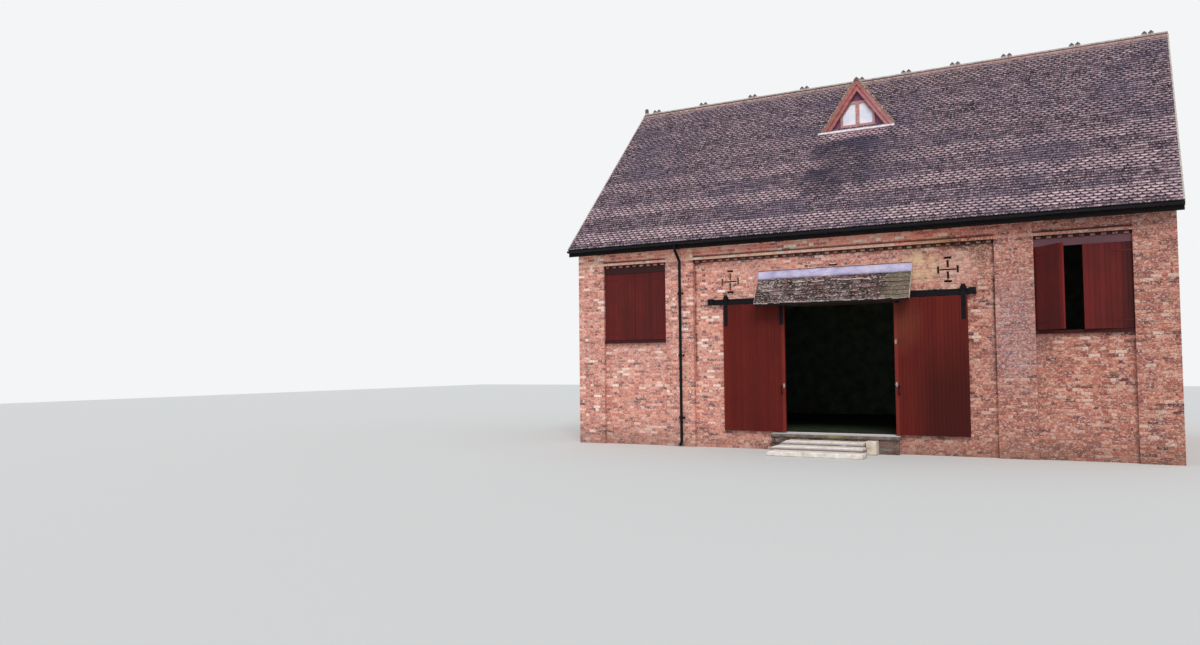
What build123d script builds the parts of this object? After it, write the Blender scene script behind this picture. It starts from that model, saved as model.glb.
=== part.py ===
from build123d import *
import os
from math import atan2, cos, radians, sin, tan

# A brick barn with a steep tiled roof. Millimetres, Z up, the front faces -Y.
# The origin is on the ground under the middle of the ridge.

# Walls: the front one has an end pier, a hatch bay and a pilaster each side of the middle
courses_to_band = 66
eaves_band = 586.0
pier_wall = 440.0
panel_recess = 110.0
band_setback = 20.0
end_pier_width = 830.0
hatch_bay_width = 1970.0
pilaster_width = 830.0
centre_panel_width = 7640.0
wall_depth = 9400.0
gable_wall = 440.0
gable_pilaster_width = 854.0

# Roof
roof_pitch = 45.25
rafter_depth = 140.0
tile_depth = 60.0
rafter_overhang = 285.0
tile_overhang = 75.0
verge_overhang = 140.0
fascia_thickness = 25.0
fascia_drop = 4.0

# Floor, doorway and sliding doors, with the left one a little into the doorway
floor_height = 450.0
doorway_width = 3000.0
doorway_height = 3260.0
lintel_height = 231.0
lintel_bearing = 220.0
leaf_width = 1698.0
leaf_head_lap = 95.0
leaf_thickness = 60.0
leaf_board = 30.0
leaf_floor_gap = 20.0
leaf_wall_gap = 30.0
leaf_stile = 140.0
left_leaf_shut = 240.0
right_leaf_clear = 7.0
handle_inset = 90.0
handle_height = 1450.0
handle_length = 220.0
handle_width = 40.0
handle_plate = 8.0
handle_reach = 45.0

# Door track
track_overrun = 42.0
track_height = 88.0
track_thickness = 12.0
track_board_height = 150.0
track_board_thickness = 25.0
track_lift = 15.0
track_out = 15.0
track_spacers = 8
track_spacer_size = 36.0
track_spacer_inset = 200.0
wheel_diameter = 150.0
wheel_thickness = 26.0
wheel_clearance = 0.4
axle_radius = 14.0
axle_end = 8.0
strap_width = 100.0
strap_thickness = 10.0
strap_inset = 83.0
strap_grip = 560.0
strap_short_grip = 120.0
strap_rise = 90.0
track_stop_width = 160.0
track_stop_height = 160.0
track_stop_lip = 14.0

# Canopy over the doorway
canopy_lap = 450.0
canopy_lift = 80.0
canopy_height = 820.0
canopy_to_band = 432.0
canopy_reach = 460.0
canopy_thickness = 60.0
canopy_bracket_width = 70.0
canopy_bracket_rise = 370.0
canopy_bracket_inset = 120.0
flashing_upstand = 40.0
flashing_lap = 150.0
flashing_thickness = 8.0

# Hatch bays
hatch_height = 1980.0
hatch_header_height = 175.0
hatch_frame = 75.0
hatch_frame_depth = 90.0
hatch_header_depth = 130.0
hatch_header_bearing = 100.0
hatch_ledge = 120.0
hatch_ledge_depth = 25.0
hatch_leaf_thickness = 45.0
hatch_clearance = 8.0
hatch_hinge_height = 160.0
hatch_hinge_inset = 260.0
hatch_left_open = 51.0
hatch_right_open = 6.0
hatch_sill_height = 77.0
hatch_sill_nose = 30.0

# Cross shaped vents
vent_inset = 1045.0
vent_drop = 642.0
vent_height = 620.0
vent_width = 500.0
vent_bar = 180.0
vent_slot = 56.0
vent_gap = 28.0
vent_thin = 36.0
vent_thin_reach = 190.0
gable_vent_rise = 1332.0
back_vent_lift = 154.0

# Ridge
ridge_tile_leg = 210.0
ridge_tile_thickness = 28.0
crest_end_inset = 450.0
crest_spacing = (5, 5, 5, 5, 4, 4, 4, 5, 5)
crest_height = 95.0
crest_hump = 130.0
crest_spread = 150.0
crest_thickness = 45.0
finial_height = 170.0
finial_width = 90.0
finial_break = 50.0
finial_inset = 20.0

# Dormer
dormer_x = 40.0
dormer_face = -1780.0
dormer_ridge_drop = 463.0
dormer_height = 1430.0
dormer_half_width = 1020.0
dormer_shell = 70.0
dormer_eaves = 80.0
barge_width = 204.0
barge_thickness = 30.0
dormer_wall = 40.0
window_shift = 20.0
window_half_width = 480.0
window_lift = 90.0
window_upright = 350.0
window_height = 715.0
window_top_half = 217.0
window_frame = 62.0
window_frame_out = 25.0
window_mullion = 98.0
glass_thickness = 8.0
glass_setback = 25.0
dormer_shaft_half = 340.0
dormer_shaft_depth = 490.0
dormer_shaft_gap = 20.0
apron_half_length = 1056.0
apron_height = 50.0
apron_depth = 38.0
apron_thickness = 8.0
dormer_finial = 40.0
dormer_finial_width = 50.0

# Rainwater goods
gutter_radius = 62.0
gutter_wall = 4.0
gutter_drop = 15.0
gutter_gap = 2.0
gutter_brackets = 16
gutter_bracket_width = 30.0
gutter_bracket_height = 25.0
pipe_radius = 38.0
pipe_inset = 365.0
pipe_wall_gap = 30.0
pipe_neck_drop = 300.0
pipe_neck_straight = 110.0
pipe_bend = 70.0
pipe_shoe_kick = 90.0
pipe_shoe_height = 120.0

# Threshold and steps
threshold_lap = 115.0
threshold_height = 100.0
threshold_nose = 210.0
plinth_lap = 100.0
plinth_nose = 150.0
# Each step: left end, right end, top, depth, and the width and drop of its worn left corner
steps = {
    "top": (-1240.0, 855.0, 305.0, 450.0, 170.0, 80.0),
    "middle": (-1320.0, 950.0, 212.0, 450.0, 130.0, 40.0),
    "bottom": (-1263.0, 1070.0, 122.0, 500.0, 60.0, 30.0),
}
end_block_width = 265.0
end_block_length = 300.0
end_block_height = 340.0
step_block_gap = 10.0

# How far a cutting block reaches past the face it cuts
cut_past = 1.0

# Values that follow from the ones above
slope = tan(radians(roof_pitch))
doorway_half = doorway_width / 2
doorway_head = floor_height + doorway_height
canopy_eaves = doorway_head + canopy_lift
canopy_top = canopy_eaves + canopy_height
band_height = canopy_top + flashing_upstand + canopy_to_band
course = band_height / courses_to_band
roof_wall_height = band_height + eaves_band
front_face = -wall_depth / 2
half_length = end_pier_width + hatch_bay_width + pilaster_width + centre_panel_width / 2
bay_inner = centre_panel_width / 2 + pilaster_width
bay_outer = bay_inner + hatch_bay_width
wall_inside = front_face + pier_wall
roof_plumb = (rafter_depth + tile_depth) / cos(radians(roof_pitch))
tile_plumb = tile_depth / cos(radians(roof_pitch))


def under_roof(y):
    """Height of the rafters' underside above a point of the front half."""
    return roof_wall_height + (y - front_face) * slope


def roof_top(y):
    """Height of the tiled surface above a point of the front half."""
    return under_roof(y) + roof_plumb


def box(x0, x1, y0, y1, z0, z1):
    """A plain block between two corners, kept out of any builder."""
    size = (x1 - x0, y1 - y0, z1 - z0)
    middle = Pos((x0 + x1) / 2, (y0 + y1) / 2, (z0 + z1) / 2)
    return middle * Box(*size, mode=Mode.PRIVATE)


def write(part, name):
    """Label a finished piece and write it under its own name."""
    part.part.label = name
    export_step(part.part, f"parts/{name}.step")


def prism_along_x(outline, x0, x1):
    """A solid with the given (y, z) outline between two x positions."""
    with BuildPart(mode=Mode.PRIVATE) as prism:
        with BuildSketch(Plane.YZ.offset(x0)):
            with BuildLine():
                Polyline(*outline, close=True)
            make_face()
        extrude(amount=x1 - x0)
    return prism.part


def prism_along_y(outline, y0, y1):
    """A solid with the given (x, z) outline between two y positions."""
    with BuildPart(mode=Mode.PRIVATE) as prism:
        with BuildSketch(Plane.XZ.offset(-y1)):
            with BuildLine():
                Polyline(*outline, close=True)
            make_face()
        extrude(amount=y1 - y0)
    return prism.part


os.makedirs("parts", exist_ok=True)

panel_face = front_face + panel_recess
wall_top_front = under_roof(front_face)
wall_top_inside = under_roof(wall_inside)
centre_half = centre_panel_width / 2
panel_spans = ((-bay_outer, -bay_inner), (-centre_half, centre_half), (bay_inner, bay_outer))
lintel_half = doorway_half + lintel_bearing
lintel_top = doorway_head + lintel_height
header_top = band_height - course
hatch_head = header_top - hatch_header_height
hatch_sill = hatch_head - hatch_height
vent_x = centre_half - vent_inset
vent_z = band_height - vent_drop
back_vent_z = vent_z + back_vent_lift


def cross_vent(x, z, y0, y1):
    """The seven slots of one cross vent, as cutters along Y."""
    arm = vent_slot / 2
    slots = [box(x - vent_thin_reach, x + vent_thin_reach, y0, y1, z - vent_thin / 2, z + vent_thin / 2)]
    for way in (-1, 1):
        upright = sorted((z + way * (vent_thin / 2 + vent_gap), z + way * (vent_height / 2 - vent_slot - vent_gap)))
        slots.append(box(x - arm, x + arm, y0, y1, *upright))
        head = z + way * (vent_height / 2 - arm)
        slots.append(box(x - vent_bar / 2, x + vent_bar / 2, y0, y1, head - arm, head + arm))
        side = x + way * (vent_width / 2 - arm)
        slots.append(box(side - arm, side + arm, y0, y1, z - vent_bar / 2, z + vent_bar / 2))
    return slots


# A long wall with its piers, recessed panels, string course and band, cut off under the rafters
long_wall_outline = (
    (front_face, 0),
    (wall_inside, 0),
    (wall_inside, wall_top_inside),
    (front_face, wall_top_front),
)
outside = front_face - cut_past
through = (outside, wall_inside + cut_past)
with BuildPart() as long_wall:
    add(prism_along_x(long_wall_outline, -half_length, half_length))
    for left, right in panel_spans:
        band = (outside, front_face + band_setback, band_height + course, wall_top_front + cut_past)
        add(box(left, right, outside, panel_face, -cut_past, band_height), mode=Mode.SUBTRACT)
        add(box(left, right, *band), mode=Mode.SUBTRACT)

# Front wall beside the doorway, with hatch openings, header pockets and lintel seats
above_wall = wall_top_inside + cut_past
header_depth = (panel_face, panel_face + hatch_header_depth)
for side, name in ((-1, "front_wall_left"), (1, "front_wall_right")):
    with BuildPart() as front_wall:
        add(long_wall.part)
        other_side = sorted((-side * (half_length + cut_past), side * doorway_half))
        add(box(*other_side, *through, -cut_past, above_wall), mode=Mode.SUBTRACT)
        add(cross_vent(side * vent_x, vent_z, *through), mode=Mode.SUBTRACT)
        low, high = sorted((side * bay_inner, side * bay_outer))
        add(box(low, high, *through, hatch_sill, header_top), mode=Mode.SUBTRACT)
        pocket = (low - hatch_header_bearing, high + hatch_header_bearing)
        add(box(*pocket, *header_depth, hatch_head, header_top), mode=Mode.SUBTRACT)
        seat = sorted((side * (doorway_half - cut_past), side * lintel_half))
        add(box(*seat, *through, doorway_head, lintel_top), mode=Mode.SUBTRACT)
    write(front_wall, name)

with BuildPart() as over_door:
    add(long_wall.part)
    for side in (-1, 1):
        beside = sorted((side * doorway_half, side * (half_length + cut_past)))
        add(box(*beside, *through, -cut_past, above_wall), mode=Mode.SUBTRACT)
    add(box(-doorway_half, doorway_half, *through, -cut_past, lintel_top), mode=Mode.SUBTRACT)
write(over_door, "front_wall_over_door")

with BuildPart() as lintel:
    add(box(-lintel_half, lintel_half, panel_face, wall_inside, doorway_head, lintel_top))
write(lintel, "doorway_lintel")

# Back wall with the same piers and panels, and its vents a little higher
back_through = (-wall_inside - cut_past, -outside)
with BuildPart() as back_wall:
    add(long_wall.part.mirror(Plane.XZ))
    for x in (-vent_x, vent_x):
        add(cross_vent(x, back_vent_z, *back_through), mode=Mode.SUBTRACT)
write(back_wall, "back_wall")

# Gable walls stand between the long walls, each with two panels and a pilaster
gable_outline = (
    (wall_inside, 0),
    (-wall_inside, 0),
    (-wall_inside, wall_top_inside),
    (0, under_roof(0)),
    (wall_inside, wall_top_inside),
)
for side, name in ((-1, "left_gable_wall"), (1, "right_gable_wall")):
    low, high = sorted((side * half_length, side * (half_length - gable_wall)))
    with BuildPart() as gable:
        add(prism_along_x(gable_outline, low, high))
        sunk = sorted((side * (half_length + cut_past), side * (half_length - panel_recess)))
        for way in (-1, 1):
            span = sorted((way * gable_pilaster_width / 2, way * (-front_face - end_pier_width)))
            add(box(*sunk, *span, -cut_past, band_height), mode=Mode.SUBTRACT)
        vent_height_up = roof_wall_height + gable_vent_rise
        for slot in cross_vent(0, vent_height_up, low - cut_past, high + cut_past):
            add(slot.rotate(Axis.Z, -90), mode=Mode.SUBTRACT)
    write(gable, name)

# Built-up floor inside the walls
floor_x = half_length - gable_wall
with BuildPart() as floor:
    add(box(-floor_x, floor_x, wall_inside, -wall_inside, 0, floor_height))
write(floor, "floor")

# Roof slopes: tiles over rafters, the tiles reaching past the rafters at the eaves
pitch_cos = cos(radians(roof_pitch))
pitch_sin = sin(radians(roof_pitch))
roof_half = half_length + verge_overhang
rafter_end = front_face - rafter_overhang
tile_end = rafter_end - tile_overhang
slope_outline = (
    (0, under_roof(0)),
    (0, roof_top(0)),
    (tile_end, roof_top(tile_end)),
    (tile_end + tile_depth * pitch_sin, roof_top(tile_end) - tile_depth * pitch_cos),
    (rafter_end, roof_top(rafter_end) - tile_plumb),
    (rafter_end, under_roof(rafter_end)),
)
shaft_front = dormer_face + dormer_wall + dormer_shaft_gap
with BuildPart() as front_slope:
    add(prism_along_x(slope_outline, -roof_half, roof_half))
    add(
        box(
            dormer_x - dormer_shaft_half, dormer_x + dormer_shaft_half,
            shaft_front, shaft_front + dormer_shaft_depth, roof_wall_height, roof_top(0),
        ),
        mode=Mode.SUBTRACT,
    )
write(front_slope, "front_roof_slope")

with BuildPart() as back_slope:
    add(prism_along_x(slope_outline, -roof_half, roof_half).mirror(Plane.XZ))
write(back_slope, "back_roof_slope")

# Ridge tiles, with pointed crest tiles among the plain ones
cap_top = roof_top(0) + ridge_tile_thickness / pitch_cos
leg_end = (-ridge_tile_leg * pitch_cos, cap_top - ridge_tile_leg * pitch_sin)
leg_foot = (leg_end[0] + ridge_tile_thickness * pitch_sin, leg_end[1] - ridge_tile_thickness * pitch_cos)
cap_outline = (
    (0, cap_top),
    leg_end,
    leg_foot,
    (0, roof_top(0)),
    (-leg_foot[0], leg_foot[1]),
    (-leg_end[0], leg_end[1]),
)
crest_base = roof_top(0) + ridge_tile_thickness / 2
crest_shoulder = cap_top + crest_height / 3
with BuildPart() as ridge:
    add(prism_along_x(cap_outline, -roof_half, roof_half))
    ridge_tile_length = 2 * (roof_half - crest_end_inset) / sum(crest_spacing)
    tiles = 0
    for spacing in (0,) + crest_spacing:
        tiles += spacing
        for way in (-1, 1):
            x = -roof_half + crest_end_inset + tiles * ridge_tile_length + way * crest_spread / 2
            hump = (
                (x - crest_hump / 2, crest_base),
                (x + crest_hump / 2, crest_base),
                (x + crest_hump / 2, crest_shoulder),
                (x, cap_top + crest_height),
                (x - crest_hump / 2, crest_shoulder),
            )
            add(prism_along_y(hump, -crest_thickness / 2, crest_thickness / 2))

# The broken stump of a finial at the left end of the ridge
saddle = finial_width / 2
saddle_foot = cap_top - saddle * slope
finial_outline = (
    (-saddle, saddle_foot),
    (0, cap_top),
    (saddle, saddle_foot),
    (saddle, cap_top + finial_height - finial_break),
    (0, cap_top + finial_height),
    (-saddle, cap_top + finial_height - finial_break / 2),
)
finial_x = -roof_half + finial_inset
with ridge:
    add(prism_along_x(finial_outline, finial_x, finial_x + finial_width))
write(ridge, "ridge_tiles")

# Eaves boards and half-round gutters, front and back
fascia_face = rafter_end - fascia_thickness
fascia_top = roof_top(fascia_face) - tile_plumb
fascia_bottom = under_roof(rafter_end) - fascia_drop
gutter_y = fascia_face - gutter_gap - gutter_radius
gutter_rim = fascia_top - gutter_drop
with BuildPart() as fascia:
    for side in (-1, 1):
        depth = sorted((side * fascia_face, side * rafter_end))
        add(box(-roof_half, roof_half, *depth, fascia_bottom, fascia_top))
write(fascia, "eaves_boards")

for side, name in ((1, "front"), (-1, "back")):
    with BuildPart() as gutter:
        for start, length, bore in (
            (-roof_half, 2 * roof_half, gutter_radius - gutter_wall),
            (-roof_half, gutter_wall, 0),
            (roof_half - gutter_wall, gutter_wall, 0),
        ):
            with BuildSketch(Plane.YZ.offset(start)):
                with Locations((side * gutter_y, gutter_rim)):
                    Circle(gutter_radius)
                    if bore:
                        Circle(bore, mode=Mode.SUBTRACT)
                with Locations((side * gutter_y, gutter_rim + gutter_radius)):
                    Rectangle(2 * (gutter_radius + cut_past), 2 * gutter_radius, mode=Mode.SUBTRACT)
            extrude(amount=length)
        bracket_depth = gutter_gap + gutter_wall
        bracket_y = side * (fascia_face - bracket_depth / 2)
        with Locations((0, bracket_y, gutter_rim - gutter_bracket_height / 2)):
            with GridLocations(2 * roof_half / gutter_brackets, 1, gutter_brackets, 1):
                Box(gutter_bracket_width, bracket_depth, gutter_bracket_height)
    write(gutter, f"{name}_gutter")

# Downpipes from the gutters, swan-necked back to the wall
pipe_y = front_face - pipe_wall_gap - pipe_radius
neck_top = gutter_rim - gutter_radius
pipe_x = -centre_half - pipe_inset
for side, name in ((1, "front"), (-1, "back")):
    with BuildPart() as pipe:
        with BuildLine() as route:
            FilletPolyline(
                (pipe_x, side * gutter_y, neck_top),
                (pipe_x, side * gutter_y, neck_top - pipe_neck_straight),
                (pipe_x, side * pipe_y, neck_top - pipe_neck_straight - pipe_neck_drop),
                (pipe_x, side * pipe_y, pipe_shoe_height),
                (pipe_x, side * (pipe_y - pipe_shoe_kick), pipe_shoe_height / 2),
                radius=pipe_bend,
            )
        with BuildSketch(Plane(origin=route.line @ 0, z_dir=route.line % 0)):
            Circle(pipe_radius)
        sweep()
    write(pipe, f"{name}_downpipe")

# Canopy: a small steep roof over the doorway, its lead flashing and brackets
canopy_angle = atan2(canopy_height, canopy_reach)
canopy_front = panel_face - canopy_reach
canopy_plumb = canopy_thickness / cos(canopy_angle)
canopy_half = doorway_half + canopy_lap
canopy_foot = (
    canopy_front + canopy_thickness * sin(canopy_angle),
    canopy_eaves - canopy_thickness * cos(canopy_angle),
)
canopy_outline = (
    (panel_face, canopy_top),
    (canopy_front, canopy_eaves),
    canopy_foot,
    (panel_face, canopy_top - canopy_plumb),
)
with BuildPart() as canopy:
    add(prism_along_x(canopy_outline, -canopy_half, canopy_half))
write(canopy, "canopy_roof")

lap_y = panel_face - flashing_lap * cos(canopy_angle)
lap_z = canopy_top - flashing_lap * sin(canopy_angle)
flashing_face = panel_face - flashing_thickness
flashing_knee = canopy_top + flashing_thickness * (1 - sin(canopy_angle)) / cos(canopy_angle)
flashing_outline = (
    (panel_face, canopy_top),
    (lap_y, lap_z),
    (lap_y - flashing_thickness * sin(canopy_angle), lap_z + flashing_thickness * cos(canopy_angle)),
    (flashing_face, flashing_knee),
    (flashing_face, canopy_top + flashing_upstand),
    (panel_face, canopy_top + flashing_upstand),
)
with BuildPart() as flashing:
    add(prism_along_x(flashing_outline, -canopy_half, canopy_half))
write(flashing, "canopy_flashing")

bracket_head = canopy_top - canopy_plumb
bracket_foot = canopy_eaves + canopy_bracket_rise
bracket_reach = (bracket_head - bracket_foot) * canopy_reach / canopy_height
bracket_outline = (
    (panel_face, bracket_foot),
    (panel_face - bracket_reach, bracket_foot),
    (panel_face, bracket_head),
)
with BuildPart() as brackets:
    for middle in (-canopy_half + canopy_bracket_inset, 0, canopy_half - canopy_bracket_inset):
        left = middle - canopy_bracket_width / 2
        add(prism_along_x(bracket_outline, left, left + canopy_bracket_width))
write(brackets, "canopy_brackets")

# Track for the sliding doors: board, and a flat rail on spacers with its end stops
leaf_bottom = floor_height + leaf_floor_gap
leaf_top = doorway_head + leaf_head_lap
leaf_back = panel_face - leaf_wall_gap
leaf_front = leaf_back - leaf_thickness
track_half = doorway_half + leaf_width + track_overrun
rail_bottom = leaf_top + track_lift
rail_top = rail_bottom + track_height
rail_middle = leaf_front + track_out
rail_faces = (rail_middle - track_thickness / 2, rail_middle + track_thickness / 2)
board_face = panel_face - track_board_thickness
with BuildPart() as board:
    add(box(-track_half, track_half, board_face, panel_face, rail_bottom, rail_bottom + track_board_height))
write(board, "door_track_board")

with BuildPart() as rail:
    add(box(-track_half, track_half, *rail_faces, rail_bottom, rail_top))
    spacer_z = (rail_bottom + rail_top) / 2
    spacer_pitch = 2 * (track_half - track_spacer_inset) / (track_spacers - 1)
    with Locations((0, (rail_faces[1] + board_face) / 2, spacer_z)):
        with GridLocations(spacer_pitch, 1, track_spacers, 1):
            Box(track_spacer_size, board_face - rail_faces[1], track_spacer_size)
    stop_bottom = rail_top - track_stop_height / 2
    for side in (-1, 1):
        ends = sorted((side * track_half, side * (track_half + track_stop_width)))
        depth = (rail_faces[0] - track_stop_lip, panel_face)
        add(box(*ends, *depth, stop_bottom, stop_bottom + track_stop_height))
write(rail, "door_track_rail")

# Sliding doors: boards on a framed back, hung by straps from wheels on the rail
frame_face = leaf_front + leaf_board
wheel_centre = rail_top + wheel_clearance + wheel_diameter / 2


def door_leaf(left):
    """A boarded leaf with stiles, rails and two diagonal braces behind."""
    right = left + leaf_width
    rail_z = (leaf_bottom, (leaf_bottom + leaf_top - leaf_stile) / 2, leaf_top - leaf_stile)
    with BuildPart() as leaf:
        add(box(left, right, leaf_front, frame_face, leaf_bottom, leaf_top))
        for x in (left, right - leaf_stile):
            add(box(x, x + leaf_stile, frame_face, leaf_back, leaf_bottom, leaf_top))
        for z in rail_z:
            add(box(left, right, frame_face, leaf_back, z, z + leaf_stile))
        for low, high in zip(rail_z[:-1], rail_z[1:]):
            brace = (
                (left, low),
                (left + leaf_stile, low),
                (right, high + leaf_stile),
                (right - leaf_stile, high + leaf_stile),
            )
            add(prism_along_y(brace, frame_face, leaf_back))
    return leaf


def door_hangers(left, grips):
    """Two straps with their wheels and axles, each reaching its own way down the leaf."""
    strap_face = leaf_front - strap_thickness
    wheel_back = rail_middle + wheel_thickness / 2
    with BuildPart() as hangers:
        for x, grip in zip((left + strap_inset, left + leaf_width - strap_inset), grips):
            strap = (x - strap_width / 2, x + strap_width / 2, strap_face, leaf_front)
            add(box(*strap, leaf_top - grip, wheel_centre + strap_rise))
            for radius, back, depth in (
                (wheel_diameter / 2, wheel_back, wheel_thickness),
                (axle_radius, wheel_back + axle_end, wheel_back + axle_end - leaf_front),
            ):
                with BuildSketch(Plane.XZ.offset(-back)):
                    with Locations((x, wheel_centre)):
                        Circle(radius)
                extrude(amount=depth)
    return hangers


def door_ironwork(left, grips, x):
    """The hangers, and a bow handle on two feet at x."""
    half = handle_width / 2
    top = handle_height + handle_length
    with door_hangers(left, grips) as handle:
        for z in (handle_height, top - handle_width):
            add(box(x - half, x + half, leaf_front - handle_plate, leaf_front, z, z + handle_width))
            add(
                box(
                    x - half / 2, x + half / 2, leaf_front - handle_reach, leaf_front - handle_plate,
                    z + half / 2, z + handle_width - half / 2,
                )
            )
        add(
            box(
                x - half / 2, x + half / 2, leaf_front - handle_reach - half, leaf_front - handle_reach,
                handle_height + half / 2, top - half / 2,
            )
        )
    return handle


left_edge = left_leaf_shut - doorway_half
right_edge = right_leaf_clear + doorway_half
for left, grips, handle_x, name in (
    (left_edge - leaf_width, (strap_grip, strap_grip), left_edge - handle_inset, "left_door"),
    (right_edge, (strap_short_grip, strap_grip), right_edge + handle_inset, "right_door"),
):
    write(door_leaf(left), f"{name}_leaf")
    write(door_ironwork(left, grips, handle_x), f"{name}_ironwork")

# Hatches high in the end bays: frame with header, sill and hinges, and two boarded leaves each
hatch_face = panel_face - hatch_leaf_thickness
hatch_leaf_width = (hatch_bay_width - 3 * hatch_clearance) / 2
sill_top = hatch_sill + hatch_sill_height
leaf_span = (sill_top + hatch_clearance, hatch_head - hatch_clearance)


def hatch_leaf(left):
    """One closed leaf with its three ledges behind."""
    right = left + hatch_leaf_width
    inset = hatch_frame + hatch_clearance
    middle = (leaf_span[0] + leaf_span[1]) / 2
    pitch = (leaf_span[1] - leaf_span[0] - hatch_ledge) / 2 - hatch_ledge
    with BuildPart(mode=Mode.PRIVATE) as leaf:
        add(box(left, right, hatch_face, panel_face, *leaf_span))
        for z in (middle - pitch, middle, middle + pitch):
            ledge = (left + inset, right - inset, panel_face, panel_face + hatch_ledge_depth)
            add(box(*ledge, z - hatch_ledge / 2, z + hatch_ledge / 2))
    return leaf.part


for side, name in ((-1, "left_hatch"), (1, "right_hatch")):
    low, high = sorted((side * bay_inner, side * bay_outer))
    with BuildPart() as frame:
        pocket = (low - hatch_header_bearing, high + hatch_header_bearing)
        add(box(*pocket, *header_depth, hatch_head, header_top))
        add(box(low, high, hatch_face, panel_face, hatch_head, header_top))
        frame_back = panel_face + hatch_frame_depth
        add(box(low, low + hatch_frame, panel_face, frame_back, sill_top, hatch_head))
        add(box(high - hatch_frame, high, panel_face, frame_back, sill_top, hatch_head))
        add(box(low, high, hatch_face - hatch_sill_nose, frame_back, hatch_sill, sill_top))
        for start in (low, high - hatch_clearance):
            for z in (sill_top + hatch_hinge_inset, hatch_head - hatch_hinge_inset - hatch_hinge_height):
                hinge = (start, start + hatch_clearance, hatch_face, panel_face)
                add(box(*hinge, z, z + hatch_hinge_height))
    write(frame, f"{name}_frame")
    left_pivot = Axis((low + hatch_clearance, hatch_face, 0), (0, 0, 1))
    right_pivot = Axis((high - hatch_clearance, hatch_face, 0), (0, 0, 1))
    left_open, right_open = (0, 0)
    if side == 1:
        left_open, right_open = (hatch_left_open, hatch_right_open)
    with BuildPart() as leaf:
        add(hatch_leaf(low + hatch_clearance).rotate(left_pivot, -left_open))
    write(leaf, f"{name}_left_leaf")
    with BuildPart() as leaf:
        add(hatch_leaf(high - hatch_clearance - hatch_leaf_width).rotate(right_pivot, right_open))
    write(leaf, f"{name}_right_leaf")

# Threshold slab on a brick plinth, and the steps in front of it
slab_bottom = floor_height - threshold_height
plinth_front = front_face - plinth_nose
with BuildPart() as threshold:
    add(box(-doorway_half, doorway_half, panel_face, wall_inside, slab_bottom, floor_height))
    slab_half = doorway_half + threshold_lap
    slab = (-slab_half, slab_half, front_face - threshold_nose, panel_face)
    add(box(*slab, slab_bottom, floor_height))
write(threshold, "threshold_slab")

with BuildPart() as plinth:
    add(box(-doorway_half, doorway_half, panel_face, wall_inside, 0, slab_bottom))
    plinth_half = doorway_half + plinth_lap
    add(box(-plinth_half, plinth_half, plinth_front, panel_face, 0, slab_bottom))
write(plinth, "threshold_plinth")

step_back = plinth_front
for name, (left, right, top, depth, worn_width, worn_drop) in steps.items():
    outline = (
        (left, 0),
        (right, 0),
        (right, top),
        (left + worn_width, top),
        (left, top - worn_drop),
    )
    with BuildPart() as step:
        add(prism_along_y(outline, step_back - depth, step_back))
    write(step, f"step_{name}")
    step_back -= depth

block_left = steps["top"][1] + step_block_gap
with BuildPart() as end_block:
    block = (block_left, block_left + end_block_width, plinth_front - end_block_length, plinth_front)
    add(box(*block, 0, end_block_height))
write(end_block, "step_end_block")

# Dormer near the ridge: two leaning roof sides over a boarded gable
dormer_apex = roof_top(0) - dormer_ridge_drop
dormer_slope = dormer_height / dormer_half_width
dormer_angle = atan2(dormer_height, dormer_half_width)
dormer_front = dormer_face - dormer_eaves
dormer_back = (dormer_apex - roof_top(0)) / slope
dormer_low = roof_top(dormer_front - barge_thickness) - dormer_eaves
tile_plane = (
    (front_face, roof_top(front_face)),
    (front_face, roof_wall_height),
    (0, roof_wall_height),
    (0, roof_top(0)),
)
under_tiles = prism_along_x(tile_plane, -half_length, half_length)


def dormer_side(way, outer, inner):
    """Outline of one leaning side between two depths measured square to its slope."""
    outer_apex = dormer_apex - outer / cos(dormer_angle)
    inner_apex = dormer_apex - inner / cos(dormer_angle)
    return (
        (dormer_x, outer_apex),
        (dormer_x + way * (outer_apex - dormer_low) / dormer_slope, dormer_low),
        (dormer_x + way * (inner_apex - dormer_low) / dormer_slope, dormer_low),
        (dormer_x, inner_apex),
    )


def dormer_inside(depth):
    """The triangle left within the sides at a depth measured square to their slope."""
    apex = dormer_apex - depth / cos(dormer_angle)
    half = (apex - dormer_low) / dormer_slope
    return ((dormer_x, apex), (dormer_x - half, dormer_low), (dormer_x + half, dormer_low))


for way, name in ((-1, "dormer_roof_left"), (1, "dormer_roof_right")):
    with BuildPart() as leaning:
        add(prism_along_y(dormer_side(way, 0, dormer_shell), dormer_front, dormer_back))
        add(under_tiles, mode=Mode.SUBTRACT)
    write(leaning, name)

# Bargeboards in two steps, the outer one further forward, and the finial where they meet
barge_front = dormer_front - 2 * barge_thickness
finial_half = dormer_finial_width / 2
peak_outline = (
    (dormer_x, dormer_apex - barge_width),
    (dormer_x + finial_half, dormer_apex - finial_half * dormer_slope),
    (dormer_x + finial_half, dormer_apex + dormer_finial / 3),
    (dormer_x, dormer_apex + dormer_finial),
    (dormer_x - finial_half, dormer_apex + dormer_finial / 3),
    (dormer_x - finial_half, dormer_apex - finial_half * dormer_slope),
)
with BuildPart() as barge:
    for way in (-1, 1):
        add(prism_along_y(dormer_side(way, 0, barge_width / 2), barge_front, dormer_front))
        inner = dormer_side(way, barge_width / 2, barge_width)
        add(prism_along_y(inner, dormer_front - barge_thickness, dormer_front))
    add(prism_along_y(peak_outline, barge_front, dormer_front))
    add(under_tiles, mode=Mode.SUBTRACT)
write(barge, "dormer_bargeboards")

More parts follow.
